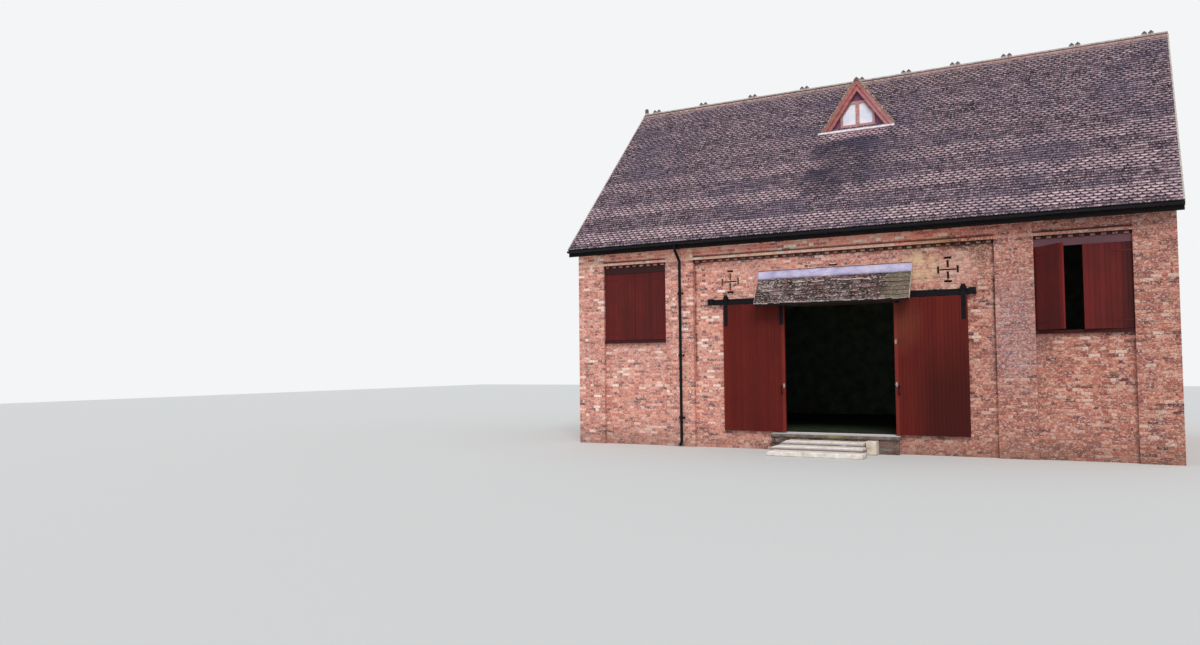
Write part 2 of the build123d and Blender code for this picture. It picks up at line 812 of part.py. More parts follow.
# Gable face round the window, the window frame and its panes
window_x = dormer_x - window_shift
window_sill = dormer_apex - dormer_height + window_lift
window_shoulder = window_sill + window_upright
window_top = window_sill + window_height
window_outline = (
    (window_x - window_half_width, window_sill),
    (window_x + window_half_width, window_sill),
    (window_x + window_half_width, window_shoulder),
    (window_x + window_top_half, window_top),
    (window_x - window_top_half, window_top),
    (window_x - window_half_width, window_shoulder),
)
face_back = dormer_face + dormer_wall
with BuildPart() as dormer_gable:
    add(prism_along_y(dormer_inside(dormer_shell), dormer_face, face_back))
    add(prism_along_y(window_outline, dormer_face - cut_past, face_back + cut_past), mode=Mode.SUBTRACT)
    add(under_tiles, mode=Mode.SUBTRACT)
write(dormer_gable, "dormer_gable_face")

frame_front = dormer_face - window_frame_out
with BuildPart() as window:
    add(prism_along_y(window_outline, frame_front, face_back))
    with BuildSketch(Plane.XZ.offset(-face_back)):
        with BuildLine():
            Polyline(*window_outline, close=True)
        make_face()
        offset(amount=-window_frame, kind=Kind.INTERSECTION)
        with Locations((window_x, (window_sill + window_top) / 2)):
            Rectangle(window_mullion, window_top, mode=Mode.SUBTRACT)
    extrude(amount=face_back - frame_front, mode=Mode.SUBTRACT)
    add(under_tiles, mode=Mode.SUBTRACT)
write(window, "dormer_window_frame")

glass_back = face_back - glass_setback
with BuildPart() as panes:
    with BuildSketch(Plane.XZ.offset(-glass_back)):
        with BuildLine():
            Polyline(*window_outline, close=True)
        make_face()
        offset(amount=-window_frame, kind=Kind.INTERSECTION)
        with Locations((window_x, (window_sill + window_top) / 2)):
            Rectangle(window_mullion, window_top, mode=Mode.SUBTRACT)
    extrude(amount=glass_thickness)
    add(under_tiles, mode=Mode.SUBTRACT)
write(panes, "dormer_window_glass")

# Lead apron along the foot of the dormer, in front of the bargeboards
apron_foot = barge_front - apron_depth
apron_outline = (
    (apron_foot, roof_top(apron_foot)),
    (barge_front, roof_top(barge_front)),
    (barge_front, roof_top(barge_front) + apron_height),
    (barge_front - apron_thickness, roof_top(barge_front) + apron_height),
    (apron_foot, roof_top(apron_foot) + apron_thickness),
)
with BuildPart() as apron:
    add(prism_along_x(apron_outline, dormer_x - apron_half_length, dormer_x + apron_half_length))
write(apron, "dormer_apron")
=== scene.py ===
import math

import bmesh
import bpy
import numpy as np
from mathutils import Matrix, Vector, noise


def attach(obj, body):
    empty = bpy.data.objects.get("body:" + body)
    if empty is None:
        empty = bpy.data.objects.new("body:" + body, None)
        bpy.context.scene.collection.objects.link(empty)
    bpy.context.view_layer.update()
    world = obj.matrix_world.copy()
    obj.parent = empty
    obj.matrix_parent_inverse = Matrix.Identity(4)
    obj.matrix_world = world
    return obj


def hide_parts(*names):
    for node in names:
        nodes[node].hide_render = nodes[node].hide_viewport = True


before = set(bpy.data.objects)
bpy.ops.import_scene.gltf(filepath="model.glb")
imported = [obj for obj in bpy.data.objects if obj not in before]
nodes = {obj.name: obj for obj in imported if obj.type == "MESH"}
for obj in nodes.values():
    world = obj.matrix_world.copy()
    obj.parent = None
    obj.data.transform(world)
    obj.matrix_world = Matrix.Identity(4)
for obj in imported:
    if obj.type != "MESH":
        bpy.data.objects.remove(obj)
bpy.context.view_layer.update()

# Sizes that the bricks, tiles and boards are set out from, in metres, with angles in radians
COURSE = 0.077
JOINT = 0.010
STRETCHER = 0.215
HEADER = 0.1025
CLOSER = 0.04625
BRICK_PROUD = 0.005
HALF_LENGTH = 7.45
HALF_DEPTH = 4.70
PANEL_DEPTH = 0.11
BAY_INNER = 4.65
BAY_OUTER = 6.62
CENTRE_HALF = 3.82
PANEL = HALF_DEPTH - PANEL_DEPTH
BAND = HALF_DEPTH - 0.02
BAND_Z = 66 * COURSE
DENTIL_Z = BAND_Z - COURSE
DENTIL_PITCH = 0.225
WALL_TOP = 5.668
GABLE_PANEL = (0.427, 3.87)
GABLE_VENT_Z = 7.0
VENT_X = 2.775
AIR_SLOT = ((-0.085, 0.13), (4.702, 4.744))
DOOR_HALF = 1.5
FLOOR_Z = 0.45
DOOR_HEAD = 3.71
LINTEL_HALF = 1.72
LINTEL_TOP = 3.941
DOOR_FRONT = -4.68
DOOR_BACK = -4.62
DOOR_Z = (0.47, 3.805)
HATCH_SILL = 2.85
HATCH_Z = (2.935, 4.822)
HATCH_MIDDLE = 3.8785
HINGE_RISE = 0.7635
LEAF = 0.973
ROOF_HALF = 7.59
ROOF_ANGLE = math.radians(45.25)
ROOF_RISE = 1.00877
EAVES = (5.06, 5.5889)
TILE_GAUGE = 0.1025
TILE_PITCH = 2 * ROOF_HALF / 90
TILE_LEAN = 0.117
OLD_TILE_PITCH = 0.165
RIDGE_Z = 10.6933
CAP_LENGTH = 0.34
DORMER_X = 0.04
DORMER_APEX = 10.2303
DORMER_LOW = 8.8003
DORMER_HALF = 1.02
DORMER_ANGLE = math.atan2(DORMER_APEX - DORMER_LOW, DORMER_HALF)
CANOPY_HALF = 1.95
CANOPY_FOOT = (-5.05, 3.79)
CANOPY_ANGLE = math.atan2(0.82, 0.46)
GUTTER = (5.074, 5.539)
PIPE = (-4.185, 4.768)
PLINTH_TOP = 0.35
STEP_TOPS = (0.122, 0.212, 0.305)
STEP_EDGES = ((STEP_TOPS[1], -5.30), (STEP_TOPS[0], -5.75))
UP = Vector((0, 0, 1))

# The mark of a part with no shade of its own
PLAIN = (0.5, 0, 0)


def srgb(red, green, blue):
    """A colour written as 0 to 255 in sRGB, as the linear values that shaders take."""
    out = []
    for value in (red, green, blue):
        share = value / 255
        out.append(share / 12.92 if share <= 0.04045 else ((share + 0.055) / 1.055) ** 2.4)
    return (*out, 1.0)


class Shader:
    """One procedural material: its surface, the pattern nodes behind it and its colour so far.
    A colour is three numbers from 0 to 255, four linear values, or a node's output."""

    def __init__(self, name, roughness=0.85, **sockets):
        self.material = bpy.data.materials.new(name)
        self.material.use_nodes = True
        self.tree = self.material.node_tree
        self.surface = self.tree.nodes["Principled BSDF"].inputs
        self.surface["Roughness"].default_value = roughness
        self.surface["Specular IOR Level"].default_value = 0.12
        for socket, value in sockets.items():
            self.surface[socket.replace("_", " ")].default_value = value
        self.place = self.node("TexCoord").outputs["Object"]
        self.axes = self.node("SeparateXYZ", self.place).outputs
        self.colour = None

    def node(self, kind, *links, inputs=None, **settings):
        """A node whose first inputs, and inputs by name, are linked to outputs or set to values."""
        made = self.tree.nodes.new("ShaderNode" + kind)
        for key, value in settings.items():
            setattr(made, key, value)
        for key, value in (*enumerate(links), *(inputs or {}).items()):
            self.feed(made.inputs[key], value)
        return made

    def feed(self, socket, value):
        if isinstance(value, bpy.types.NodeSocket):
            self.tree.links.new(value, socket)
        elif socket.type == "RGBA" and len(value) == 3:
            socket.default_value = srgb(*value)
        else:
            socket.default_value = value

    def noise(self, scale, detail=4.0, stretch=(1, 1, 1)):
        mapped = self.node("Mapping", self.place, inputs={"Scale": stretch})
        sizes = {"Scale": scale, "Detail": detail, "Roughness": 0.6}
        return self.node("TexNoise", mapped.outputs[0], inputs=sizes).outputs["Fac"]

    def mark(self, channel):
        """A value that the mesh carries for each brick, tile or board."""
        made = self.node("Attribute", attribute_name="marks").outputs
        if channel == "Alpha":
            return made["Alpha"]
        return self.node("SeparateColor", made["Color"]).outputs[channel]

    def ramp(self, value, *stops):
        """Shades along a value. A stop is a position, and a colour or a single value."""
        made = self.node("ValToRGB", value)
        points = made.color_ramp.elements
        while len(points) < len(stops):
            points.new(0.5)
        for point, (position, *colour) in zip(points, stops):
            point.position = position
            point.color = srgb(*colour) if len(colour) == 3 else (*colour * 3, 1)
        return made.outputs["Color"]

    def step(self, value, low, high):
        """0 up to low, 1 from high, smooth between; high may be the smaller."""
        ends = {"From Min": low, "From Max": high}
        return self.node("MapRange", value, inputs=ends, interpolation_type="SMOOTHSTEP").outputs["Result"]

    def band(self, value, start, low, high, end):
        """1 from low to high, fading out to start and to end."""
        return self.times(self.step(value, start, low), self.step(value, end, high))

    def edge(self, value, pattern, amount, low, high):
        """A step that a pattern pushes to and fro."""
        return self.step(self.math("MULTIPLY_ADD", pattern, amount, value), low, high)

    def spots(self, low, high, *noise_sizes):
        """Noise with a step through it: blotches, or specks at a large scale."""
        return self.step(self.noise(*noise_sizes), low, high)

    def math(self, kind, *values):
        return self.node("Math", *values, operation=kind).outputs[0]

    def times(self, *values):
        out = values[0]
        for value in values[1:]:
            out = self.math("MULTIPLY", out, value)
        return out

    def mix(self, amount, first, second, kind="MIX"):
        """The first colour at 0 and the second at 1, or the two multiplied as far as the amount."""
        colours = {6: first, 7: second}
        settings = {"data_type": "RGBA", "blend_type": kind, "clamp_result": True}
        return self.node("Mix", amount, inputs=colours, **settings).outputs[2]

    def patch(self, centre, reach, soft=0.5, ragged=0.35, scale=3.0):
        """1 in the middle of an egg-shaped area, fading with a ragged edge."""
        shape = {"Scale": [1 / r for r in reach], "Location": [-c / r for c, r in zip(centre, reach)]}
        mapped = self.node("Mapping", self.place, inputs=shape)
        length = self.node("VectorMath", mapped.outputs[0], operation="LENGTH").outputs["Value"]
        rough = self.math("MULTIPLY_ADD", self.noise(scale), ragged * 2, -ragged)
        return self.step(self.math("ADD", length, rough), 1.0, soft)

    def coat(self, colour, *amounts, kind="MIX"):
        """Lays a colour over the ones so far, by the product of the amounts."""
        self.colour = self.mix(self.times(*amounts), self.colour, colour, kind)

    def done(self, height, distance, strength):
        """Puts the colour and a bump on the surface, and gives the material."""
        self.feed(self.surface["Base Color"], self.colour)
        sizes = {"Strength": strength, "Distance": distance, "Height": height}
        self.feed(self.surface["Normal"], self.node("Bump", inputs=sizes).outputs["Normal"])
        return self.material


def weather(look):
    """The stains and painted shade that run over bricks and mortar alike, most of them on the front wall."""
    x, y, z = look.axes
    depth, width = look.math("ABSOLUTE", y), look.math("ABSOLUTE", x)
    front = look.step(y, -4.0, -4.3)
    bright = look.edge(x, look.noise(0.7, 3), 1.6, 3.4, 1.6)
    look.coat((1.35, 1.48, 1.57, 1), bright, front, kind="MULTIPLY")
    ember = look.times(look.step(z, 5.06, 5.09), look.step(x, 5.5, 2.0), front)
    look.coat((1.96, 1.5, 1.4, 1), ember, kind="MULTIPLY")
    look.coat((232, 198, 184), look.spots(0.52, 0.62, 16, 6, (1, 1, 1.6)), 0.62)
    buff = look.patch((2.15, -4.6, 4.62), (0.62, 0.5, 0.55), 0.35)
    look.coat((222, 188, 150), buff, look.spots(0.3, 0.62, 5), front, 0.85)
    pale = look.patch((2.95, -4.6, 4.45), (0.75, 0.5, 0.7), 0.2)
    look.coat((220, 180, 164), pale, 0.4)
    ochre = look.patch((2.55, -4.7, 5.13), (0.75, 0.6, 0.12), 0.4)
    look.coat((186, 146, 98), ochre, 0.55)
    salts = look.times(look.patch((4.25, -4.7, 2.9), (0.75, 0.5, 1.7), 0.3), front)
    look.coat((140, 108, 114), salts, 0.34)
    look.coat((216, 194, 196), salts, look.spots(0.52, 0.62, 26, 6, (1, 1, 1.5)), 0.68)
    moss = look.patch((3.2, -4.65, 5.02), (0.8, 0.6, 0.2), 0.35, 0.5, 6)
    drip = look.patch((3.55, -4.6, 4.8), (0.32, 0.5, 0.42), 0.2, 0.5, 7)
    growth = look.math("MAXIMUM", moss, look.times(drip, 0.8))
    look.coat((62, 60, 42), growth, look.spots(0.42, 0.6, 26, 6), front, 0.85)
    # Soot and painted shadow under the eaves at the top of the long walls, stronger to the east
    soot_and_eaves_shade = look.edge(z, look.noise(4, 3, (1, 1, 0.2)), 0.5, 5.5, 5.95)
    east = look.math("MULTIPLY_ADD", look.step(x, 1.4, 4.2), 0.5, 0.04)
    look.coat((76, 46, 38), soot_and_eaves_shade, look.step(depth, 4.3, 4.5), east)
    # Painted shade under the string course: darkest on the panel face between and just below the dentils, and
    # on the dentil faces darker towards the top
    row = look.band(z, 4.975, 5.01, 5.08, 5.09)
    look.coat((54, 34, 28), row, look.step(depth, 4.65, 4.61), 0.85)
    deep = look.math("MULTIPLY_ADD", look.step(z, 5.025, 5.06), 0.4, 0.45)
    look.coat((66, 42, 36), row, look.band(depth, 4.60, 4.64, 4.675, 4.69), deep)
    bay = look.band(width, BAY_INNER - 0.01, BAY_INNER, BAY_OUTER - 0.01, BAY_OUTER)
    centre = look.step(width, CENTRE_HALF, CENTRE_HALF - 0.02)
    panels = look.math("MAXIMUM", bay, look.times(centre, 0.9))
    look.coat((62, 40, 34), look.band(z, 5.142, 5.152, 5.185, 5.21), panels, front, 0.8)
    shade = look.times(look.step(width, 3.72, 3.80), centre, look.step(y, -4.67, -4.63))
    broken = look.times(look.spots(0.35, 0.55, 4, 4, (1, 1, 0.6)), look.step(z, 1.4, 2.4))
    look.coat((74, 48, 36), shade, broken, front, 0.85)
    seam = look.times(look.band(z, 4.648, 4.656, 4.67, 4.684), look.step(width, 1.98, 1.95))
    look.coat((70, 44, 40), seam, front, 0.75)
    look.coat((112, 76, 72), look.step(x, 3.0, 3.9), front, look.step(z, 5.3, 4.6), 0.1)
    # Painted shade on the plinth under the threshold slab and behind the steps, darker towards the bottom
    plinth = look.step(y, -4.78, -4.82)
    low = look.mix(look.step(z, 0.3, 0.08), (0.34, 0.44, 0.46, 1), (0.24, 0.3, 0.32, 1))
    look.coat(low, plinth, kind="MULTIPLY")
    # Darker towards the foot of the walls, only faintly on the plinth
    foot_darkening = look.math("MULTIPLY_ADD", plinth, -0.4, 0.45)
    look.coat((92, 74, 62), look.edge(z, look.noise(2.5), 0.9, 1.25, 0.3), foot_darkening)


def make_brick():
    look = Shader("weathered brick", 0.9)
    look.colour = look.ramp(
        look.mark("Red"), (0.0, 100, 58, 60), (0.12, 128, 70, 66), (0.3, 164, 90, 78),
        (0.52, 194, 114, 94), (0.72, 212, 136, 114), (0.88, 222, 162, 142), (1.0, 232, 196, 180),
    )
    look.coat((176, 114, 106), look.spots(0.35, 0.65, 0.55, 2), 0.35)
    look.coat((112, 70, 74), look.mark("Green"), 0.3)
    look.coat((224, 192, 176), look.spots(0.54, 0.64, 38, 5), 0.6)
    look.coat((98, 52, 48), look.spots(0.53, 0.62, 32, 5, (1, 1, 1.4)), 0.75)
    weather(look)
    return look.done(look.noise(150, 5), 0.004, 0.7)


def make_mortar():
    """The walls' own solids: lime mortar outside, dark limewashed brick inside, its darkness partly painted
    shade.
    """
    look = Shader("lime mortar", 0.95)
    x, y, _ = look.axes
    grain = look.noise(28, 6)
    look.colour = look.ramp(grain, (0.3, 116, 84, 72), (0.5, 170, 138, 120), (0.7, 214, 190, 168))
    look.coat((136, 100, 86), look.spots(0.45, 0.65, 1.6, 4), 0.5)
    weather(look)
    # Inside faces: dark green-grey, partly painted shade for the dim inside of the barn
    in_y = look.step(look.math("ABSOLUTE", y), 4.30, 4.27)
    in_x = look.step(look.math("ABSOLUTE", x), 7.05, 7.02)
    look.coat(look.ramp(look.noise(3, 5), (0.3, 84, 92, 78), (0.7, 120, 126, 108)), in_x, in_y)
    return look.done(grain, 0.006, 0.8)


def make_roof_tile():
    """Clay tiles: a shade for each one, worn pale tails, dirt and painted shade where the next one laps it.
    """
    look = Shader("roof tile", 0.8)
    x, y, z = look.axes
    dark, worn = (54, 41, 50), (228, 194, 200)
    look.colour = look.ramp(
        look.mark("Red"), (0.0, *dark), (0.45, 98, 78, 89), (0.85, 138, 112, 122), (1.0, *worn),
    )
    tail = look.step(look.mark("Alpha"), 0.36, 0.12)
    look.coat(worn, look.mark("Green"), look.math("MULTIPLY_ADD", tail, 0.75, 0.25))
    scuffs = look.times(look.spots(0.5, 0.6, 22, 6), look.math("MULTIPLY_ADD", tail, 0.7, 0.3))
    look.coat((226, 204, 208), scuffs, 0.75)
    look.coat(dark, look.spots(0.5, 0.62, 15, 5), 0.45)
    wander = look.math("SUBTRACT", look.noise(1.6, 5), 0.5)
    sides = look.times(look.edge(x, wander, 1.7, -1.3, -0.6), look.edge(x, wander, 1.2, 1.25, 0.45))
    foot = look.times(look.edge(z, wander, 1.8, 6.35, 7.0), look.step(z, 8.5, 8.44))
    deep = look.math("MULTIPLY_ADD", look.step(wander, -0.08, 0.06), 0.35, 0.4)
    look.coat((52, 50, 66), sides, foot, look.step(y, 0.0, -0.3), deep)
    look.coat((84, 78, 104), look.spots(0.46, 0.62, 0.8, 3), 0.3)
    look.coat((126, 98, 78), look.mark("Blue"), look.spots(0.42, 0.6, 9, 5))
    crumbs = look.patch((0.1, -2.12, 8.63), (0.8, 0.5, 0.16), 0.5, 0.4, 5)
    look.coat((208, 160, 166), crumbs, look.spots(0.42, 0.56, 14, 5), 0.6)
    bedding = look.step(z, RIDGE_Z - 0.3, RIDGE_Z - 0.12)
    look.coat((198, 170, 166), bedding, look.spots(0.36, 0.54, 9, 5), 0.62)
    # Dirt and painted shade on the part of each tile that the next row laps, seen between the tails above it
    look.coat((26, 18, 24), look.step(look.mark("Alpha"), 0.32, 0.48), 0.92)
    return look.done(look.noise(90, 5), 0.003, 0.5)


def make_canopy_tile():
    """Old tiles, dark with dirt, their tails crusted with pale lichen; moss at the right end."""
    look = Shader("canopy tile", 0.9)
    x, _, _ = look.axes
    look.colour = look.ramp(
        look.mark("Red"), (0.0, 36, 29, 30), (0.5, 66, 54, 53), (0.85, 98, 82, 80), (1.0, 128, 108, 104),
    )
    fine = look.noise(24, 6, (0.7, 1.4, 1.4))
    crust = look.edge(fine, look.spots(0.38, 0.6, 1.7, 4), 0.05, 0.55, 0.62)
    tail = look.step(look.mark("Alpha"), 0.6, 0.2)
    look.coat((206, 190, 186), crust, look.math("MULTIPLY_ADD", tail, 0.4, 0.4))
    look.coat((158, 132, 124), look.spots(0.54, 0.64, 40, 5), 0.5)
    look.coat((44, 34, 34), look.spots(0.52, 0.62, 13, 5), 0.5)
    look.coat((156, 100, 96), look.mark("Green"), 0.7)
    look.coat((206, 190, 184), look.mark("Blue"), look.step(look.mark("Alpha"), 0.16, 0.1), 0.8)
    look.coat((122, 112, 92), look.edge(x, look.noise(5), 0.4, 1.45, 1.7), 0.6)
    # Dirt and painted shade where the next row laps each tile
    lapped_dirt_and_shade = look.step(look.mark("Alpha"), 0.46, 0.62)
    look.coat((30, 24, 24), lapped_dirt_and_shade, look.spots(0.36, 0.6, 6, 4), 0.8)
    return look.done(look.noise(60, 6), 0.006, 0.7)


def make_plain(name, stops, scale=20.0, stretch=(1, 1, 1), roughness=0.8, bump=0.003, **sockets):
    """A surface of one stuff: its shades follow stretched noise, which also dents it."""
    look = Shader(name, roughness, **sockets)
    grain = look.noise(scale, 6, stretch)
    look.colour = look.ramp(grain, *stops)
    return look.done(grain, bump, 0.6)


def make_door_paint(name, base, worn, dark):
    """Old red paint on upright boards, faded in streaks and darker low down on the right door."""
    look = Shader(name, 0.62)
    x, _, z = look.axes
    look.colour = look.ramp(look.mark("Red"), (0.0, *dark), (0.5, *base), (1.0, *worn))
    streaks = look.noise(4, 5, (7, 7, 0.3))
    look.coat(worn, look.step(streaks, 0.45, 0.75), 0.3)
    look.coat(dark, look.spots(0.42, 0.62, 0.9, 4, (1, 1, 0.6)), 0.35)
    look.coat((128, 66, 46), look.patch((1.75, DOOR_FRONT, 3.2), (0.55, 0.4, 1.0), 0.1, 0.3), 0.4)
    # Darker low down on the right door
    look.coat((60, 19, 16), look.step(z, 3.2, 1.5), look.band(x, 1.7, 2.5, 3.4, 3.6), 0.85)
    # The hatch frames' heads: faded mauve paint on the right hatch, and on the left hatch a dark painted
    # shade under the dentils
    head_paint_and_shade = look.mix(look.step(x, -0.5, 0.5), (58, 34, 34), (120, 84, 92))
    look.coat(head_paint_and_shade, look.step(z, 4.826, 4.834), 0.8)
    look.feed(look.surface["Roughness"], look.ramp(streaks, (0.3, 0.5), (0.7, 0.75)))
    return look.done(look.noise(30, 5, (6, 6, 0.5)), 0.002, 0.5)


def make_salmon():
    """Faded red paint on the bargeboards, with lichen on the weather side."""
    look = Shader("salmon paint", 0.7)
    x, y, z = look.axes
    look.colour = look.ramp(look.noise(9, 5), (0.3, 150, 86, 84), (0.5, 174, 102, 102), (0.7, 194, 126, 126))
    side = look.math("ABSOLUTE", look.math("SUBTRACT", x, DORMER_X))
    rise = look.math("MULTIPLY_ADD", side, math.tan(DORMER_ANGLE), z)
    edge = look.step(look.math("SUBTRACT", DORMER_APEX, rise), 0.15, 0.03)
    look.coat((132, 116, 84), look.spots(0.42, 0.56, 14, 6), edge, look.step(y, -1.84, -1.87), 0.85)
    brown = look.times(look.step(z, 9.7, 9.0), look.step(y, -1.88, -1.9), look.step(x, 0.1, -0.2))
    look.coat((142, 100, 80), brown, 0.45)
    look.coat((190, 146, 154), look.step(x, -0.1, 0.3), look.spots(0.3, 0.6, 5, 4), 0.4)
    look.coat((140, 104, 88), look.spots(0.55, 0.68, 30, 6), 0.4)
    look.coat((92, 76, 80), look.step(z, 10.11, 10.16), 0.85)
    return look.done(look.noise(60, 5), 0.002, 0.5)


def make_glass():
    """Panes painted pale with the sky's reflection, a little uneven and dusty at the edges."""
    look = Shader("window glass", 0.06, Specular_IOR_Level=0.5, Coat_Weight=0.4)
    ripple = look.noise(3.5, 2)
    # Painted reflection: the pale sky's colour is laid on the panes
    look.colour = look.ramp(ripple, (0.35, 214, 218, 238), (0.65, 238, 236, 240))
    look.coat((206, 204, 206), look.spots(0.5, 0.75, 18, 5), 0.25)
    return look.done(ripple, 0.002, 0.2)


def make_ridge():
    """Clay ridge caps in lengths, pale on top and rusty with lichen along their feet."""
    look = Shader("ridge tile", 0.85)
    x, _, z = look.axes
    look.colour = look.ramp(look.noise(7, 5), (0.3, 142, 130, 126), (0.7, 190, 178, 172))
    rusty = look.mix(look.spots(0.4, 0.6, 16, 5), (138, 106, 100), (206, 172, 166))
    look.coat(rusty, look.step(z, RIDGE_Z - 0.035, RIDGE_Z - 0.075), 0.85)
    line = look.band(z, RIDGE_Z - 0.072, RIDGE_Z - 0.06, RIDGE_Z - 0.02, RIDGE_Z - 0.01)
    look.coat((58, 44, 44), line, 0.95)
    pink = look.times(look.step(x, 0.6, 1.6), look.step(z, RIDGE_Z - 0.02, RIDGE_Z - 0.06))
    look.coat((168, 124, 124), pink, 0.4)
    crest = look.mix(look.noise(30), (70, 66, 66), (128, 118, 112))
    look.coat(crest, look.step(z, RIDGE_Z + 0.05, RIDGE_Z + 0.065))
    place = look.math("FRACT", look.math("DIVIDE", look.math("ADD", x, 20.0), CAP_LENGTH))
    joint = look.step(look.math("ABSOLUTE", look.math("SUBTRACT", place, 0.5)), 0.47, 0.49)
    look.coat((92, 74, 68), joint, 0.6)
    return look.done(look.math("SUBTRACT", look.noise(60, 5), joint), 0.006, 0.6)


def make_lead():
    """Sheet lead gone pale lavender grey, with dull runs and folds."""
    look = Shader("sheet lead", 0.55, Specular_IOR_Level=0.35)
    cloud = look.noise(3, 5, (1, 1, 2))
    look.colour = look.ramp(cloud, (0.3, 148, 142, 174), (0.5, 180, 172, 204), (0.7, 208, 202, 222))
    look.coat((132, 126, 140), look.spots(0.55, 0.7, 8, 5, (4, 4, 0.6)), 0.4)
    return look.done(look.noise(12, 4), 0.004, 0.4)


def make_stone(name, dark, middle, light, dirt_and_shade, treads=(), top=0.0):
    """Pale stone or painted concrete, rubbed on the treads, with dirt, painted shade in the corners of the
    steps and a lighter painted top on the threshold.
    """
    look = Shader(name, 0.85)
    _, y, z = look.axes
    look.colour = look.ramp(look.noise(7, 6), (0.3, *dark), (0.5, *middle), (0.7, *light))
    look.coat(dirt_and_shade, look.spots(0.56, 0.74, 2.6, 5, (0.6, 1, 3)), 0.55)
    wave = look.math("SUBTRACT", look.noise(3, 4), 0.5)
    # Painted shade where a tread meets the riser of the step above, broken by spots
    for tread, front in treads:
        near = look.edge(y, wave, 0.07, front - 0.11, front - 0.02)
        level = look.band(z, tread - 0.03, tread - 0.015, tread + 0.02, tread + 0.04)
        look.coat(dirt_and_shade, near, level, look.spots(0.26, 0.46, 4, 5), 0.8)
    if top:
        # Painted light: the threshold's top is lighter than its sides, lightest at the back under the canopy
        inner = look.mix(look.step(y, -4.7, -4.55), (206, 196, 202), (244, 236, 240))
        look.coat(inner, look.step(z, top - 0.016, top - 0.006), 0.85)
    elif treads:
        rest = 1.0
        for level in STEP_TOPS:
            tread = look.band(z, level - 0.04, level - 0.02, level + 0.01, level + 0.02)
            rest = look.math("SUBTRACT", rest, tread)
        lilac = look.math("MULTIPLY_ADD", look.step(z, 0.12, 0.14), 0.5, 0.08)
        look.coat((176, 162, 172), look.math("MAXIMUM", rest, 0.0), lilac)
    cells = look.node("TexVoronoi", look.place, inputs={"Scale": 38}).outputs["Distance"]
    look.coat(dirt_and_shade, look.step(cells, 0.2, 0.1), look.noise(6), 0.5)
    moss = look.patch((0.05, -4.9, 0.42), (0.38, 0.1, 0.1), 0.2, 0.5, 9)
    look.coat((150, 142, 88), moss, look.step(y, -4.82, -4.86), look.step(z, 0.345, 0.36), 0.5)
    return look.done(look.noise(40, 6), 0.006, 0.6)


def put(name, data):
    """An object for a mesh, lamp or camera, in the scene."""
    made = bpy.data.objects.new(name, data)
    bpy.context.scene.collection.objects.link(made)
    return made


def build(name, points, faces, material, body="barn", marks=None, replaced=()):
    """A mesh piece from arrays of points and lists of faces, riding on its body."""
    mesh = bpy.data.meshes.new(name)
    mesh.from_pydata([tuple(p) for p in points], [], faces)
    mesh.update()
    if marks is not None:
        made = mesh.attributes.new("marks", "FLOAT_COLOR", "POINT")
        made.data.foreach_set("color", np.asarray(marks, np.float32).ravel())
    piece = put(name, mesh)
    mesh.materials.append(material)
    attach(piece, body)
    if replaced:
        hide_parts(*replaced)
    return piece


def pair(way, near, far):
    """The (low, high) pair of two distances, on the side that way (-1 or 1) gives."""
    return sorted((way * near, way * far))


def round_points(u, v, radius, angles):
    return [(u + radius * math.cos(a), v + radius * math.sin(a)) for a in angles]


def skin(count, rings):
    """Faces between rings of count points that follow one another."""
    faces = []
    for ring in range(0, (rings - 1) * count, count):
        for index in range(count):
            after = (index + 1) % count
            faces.append((ring + index, ring + after, ring + count + after, ring + count + index))
    return faces


class Face:
    """A plane to lay things on: u runs along it, v up it and h out of it."""

    def __init__(self, origin, out, up=UP):
        self.origin = np.array(origin, float)
        self.out = np.array(Vector(out).normalized())
        self.up = np.array(Vector(up).normalized())
        self.along = np.cross(self.up, self.out)

    def at(self, points):
        u, v, h = np.moveaxis(np.asarray(points, float), -1, 0)[..., None]
        return self.origin + u * self.along + v * self.up + h * self.out


def upright(y, side=-1):
    """The plane of a long wall or a door at y, looking forward (-1) or back (1)."""
    return Face((0, y, 0), (0, side, 0))


def roof_face(side):
    """The top of the front (-1) or back (1) slope, from the eaves up."""
    cos, sin = math.cos(ROOF_ANGLE), math.sin(ROOF_ANGLE)
    return Face((0, side * EAVES[0], EAVES[1]), (0, side * sin, cos), (0, -side * cos, sin))


def dormer_face(way):
    """The top of one side of the dormer's roof."""
    cos, sin = math.cos(DORMER_ANGLE), math.sin(DORMER_ANGLE)
    return Face((DORMER_X + way * DORMER_HALF, 0, DORMER_LOW), (way * sin, 0, cos), (-way * cos, 0, sin))


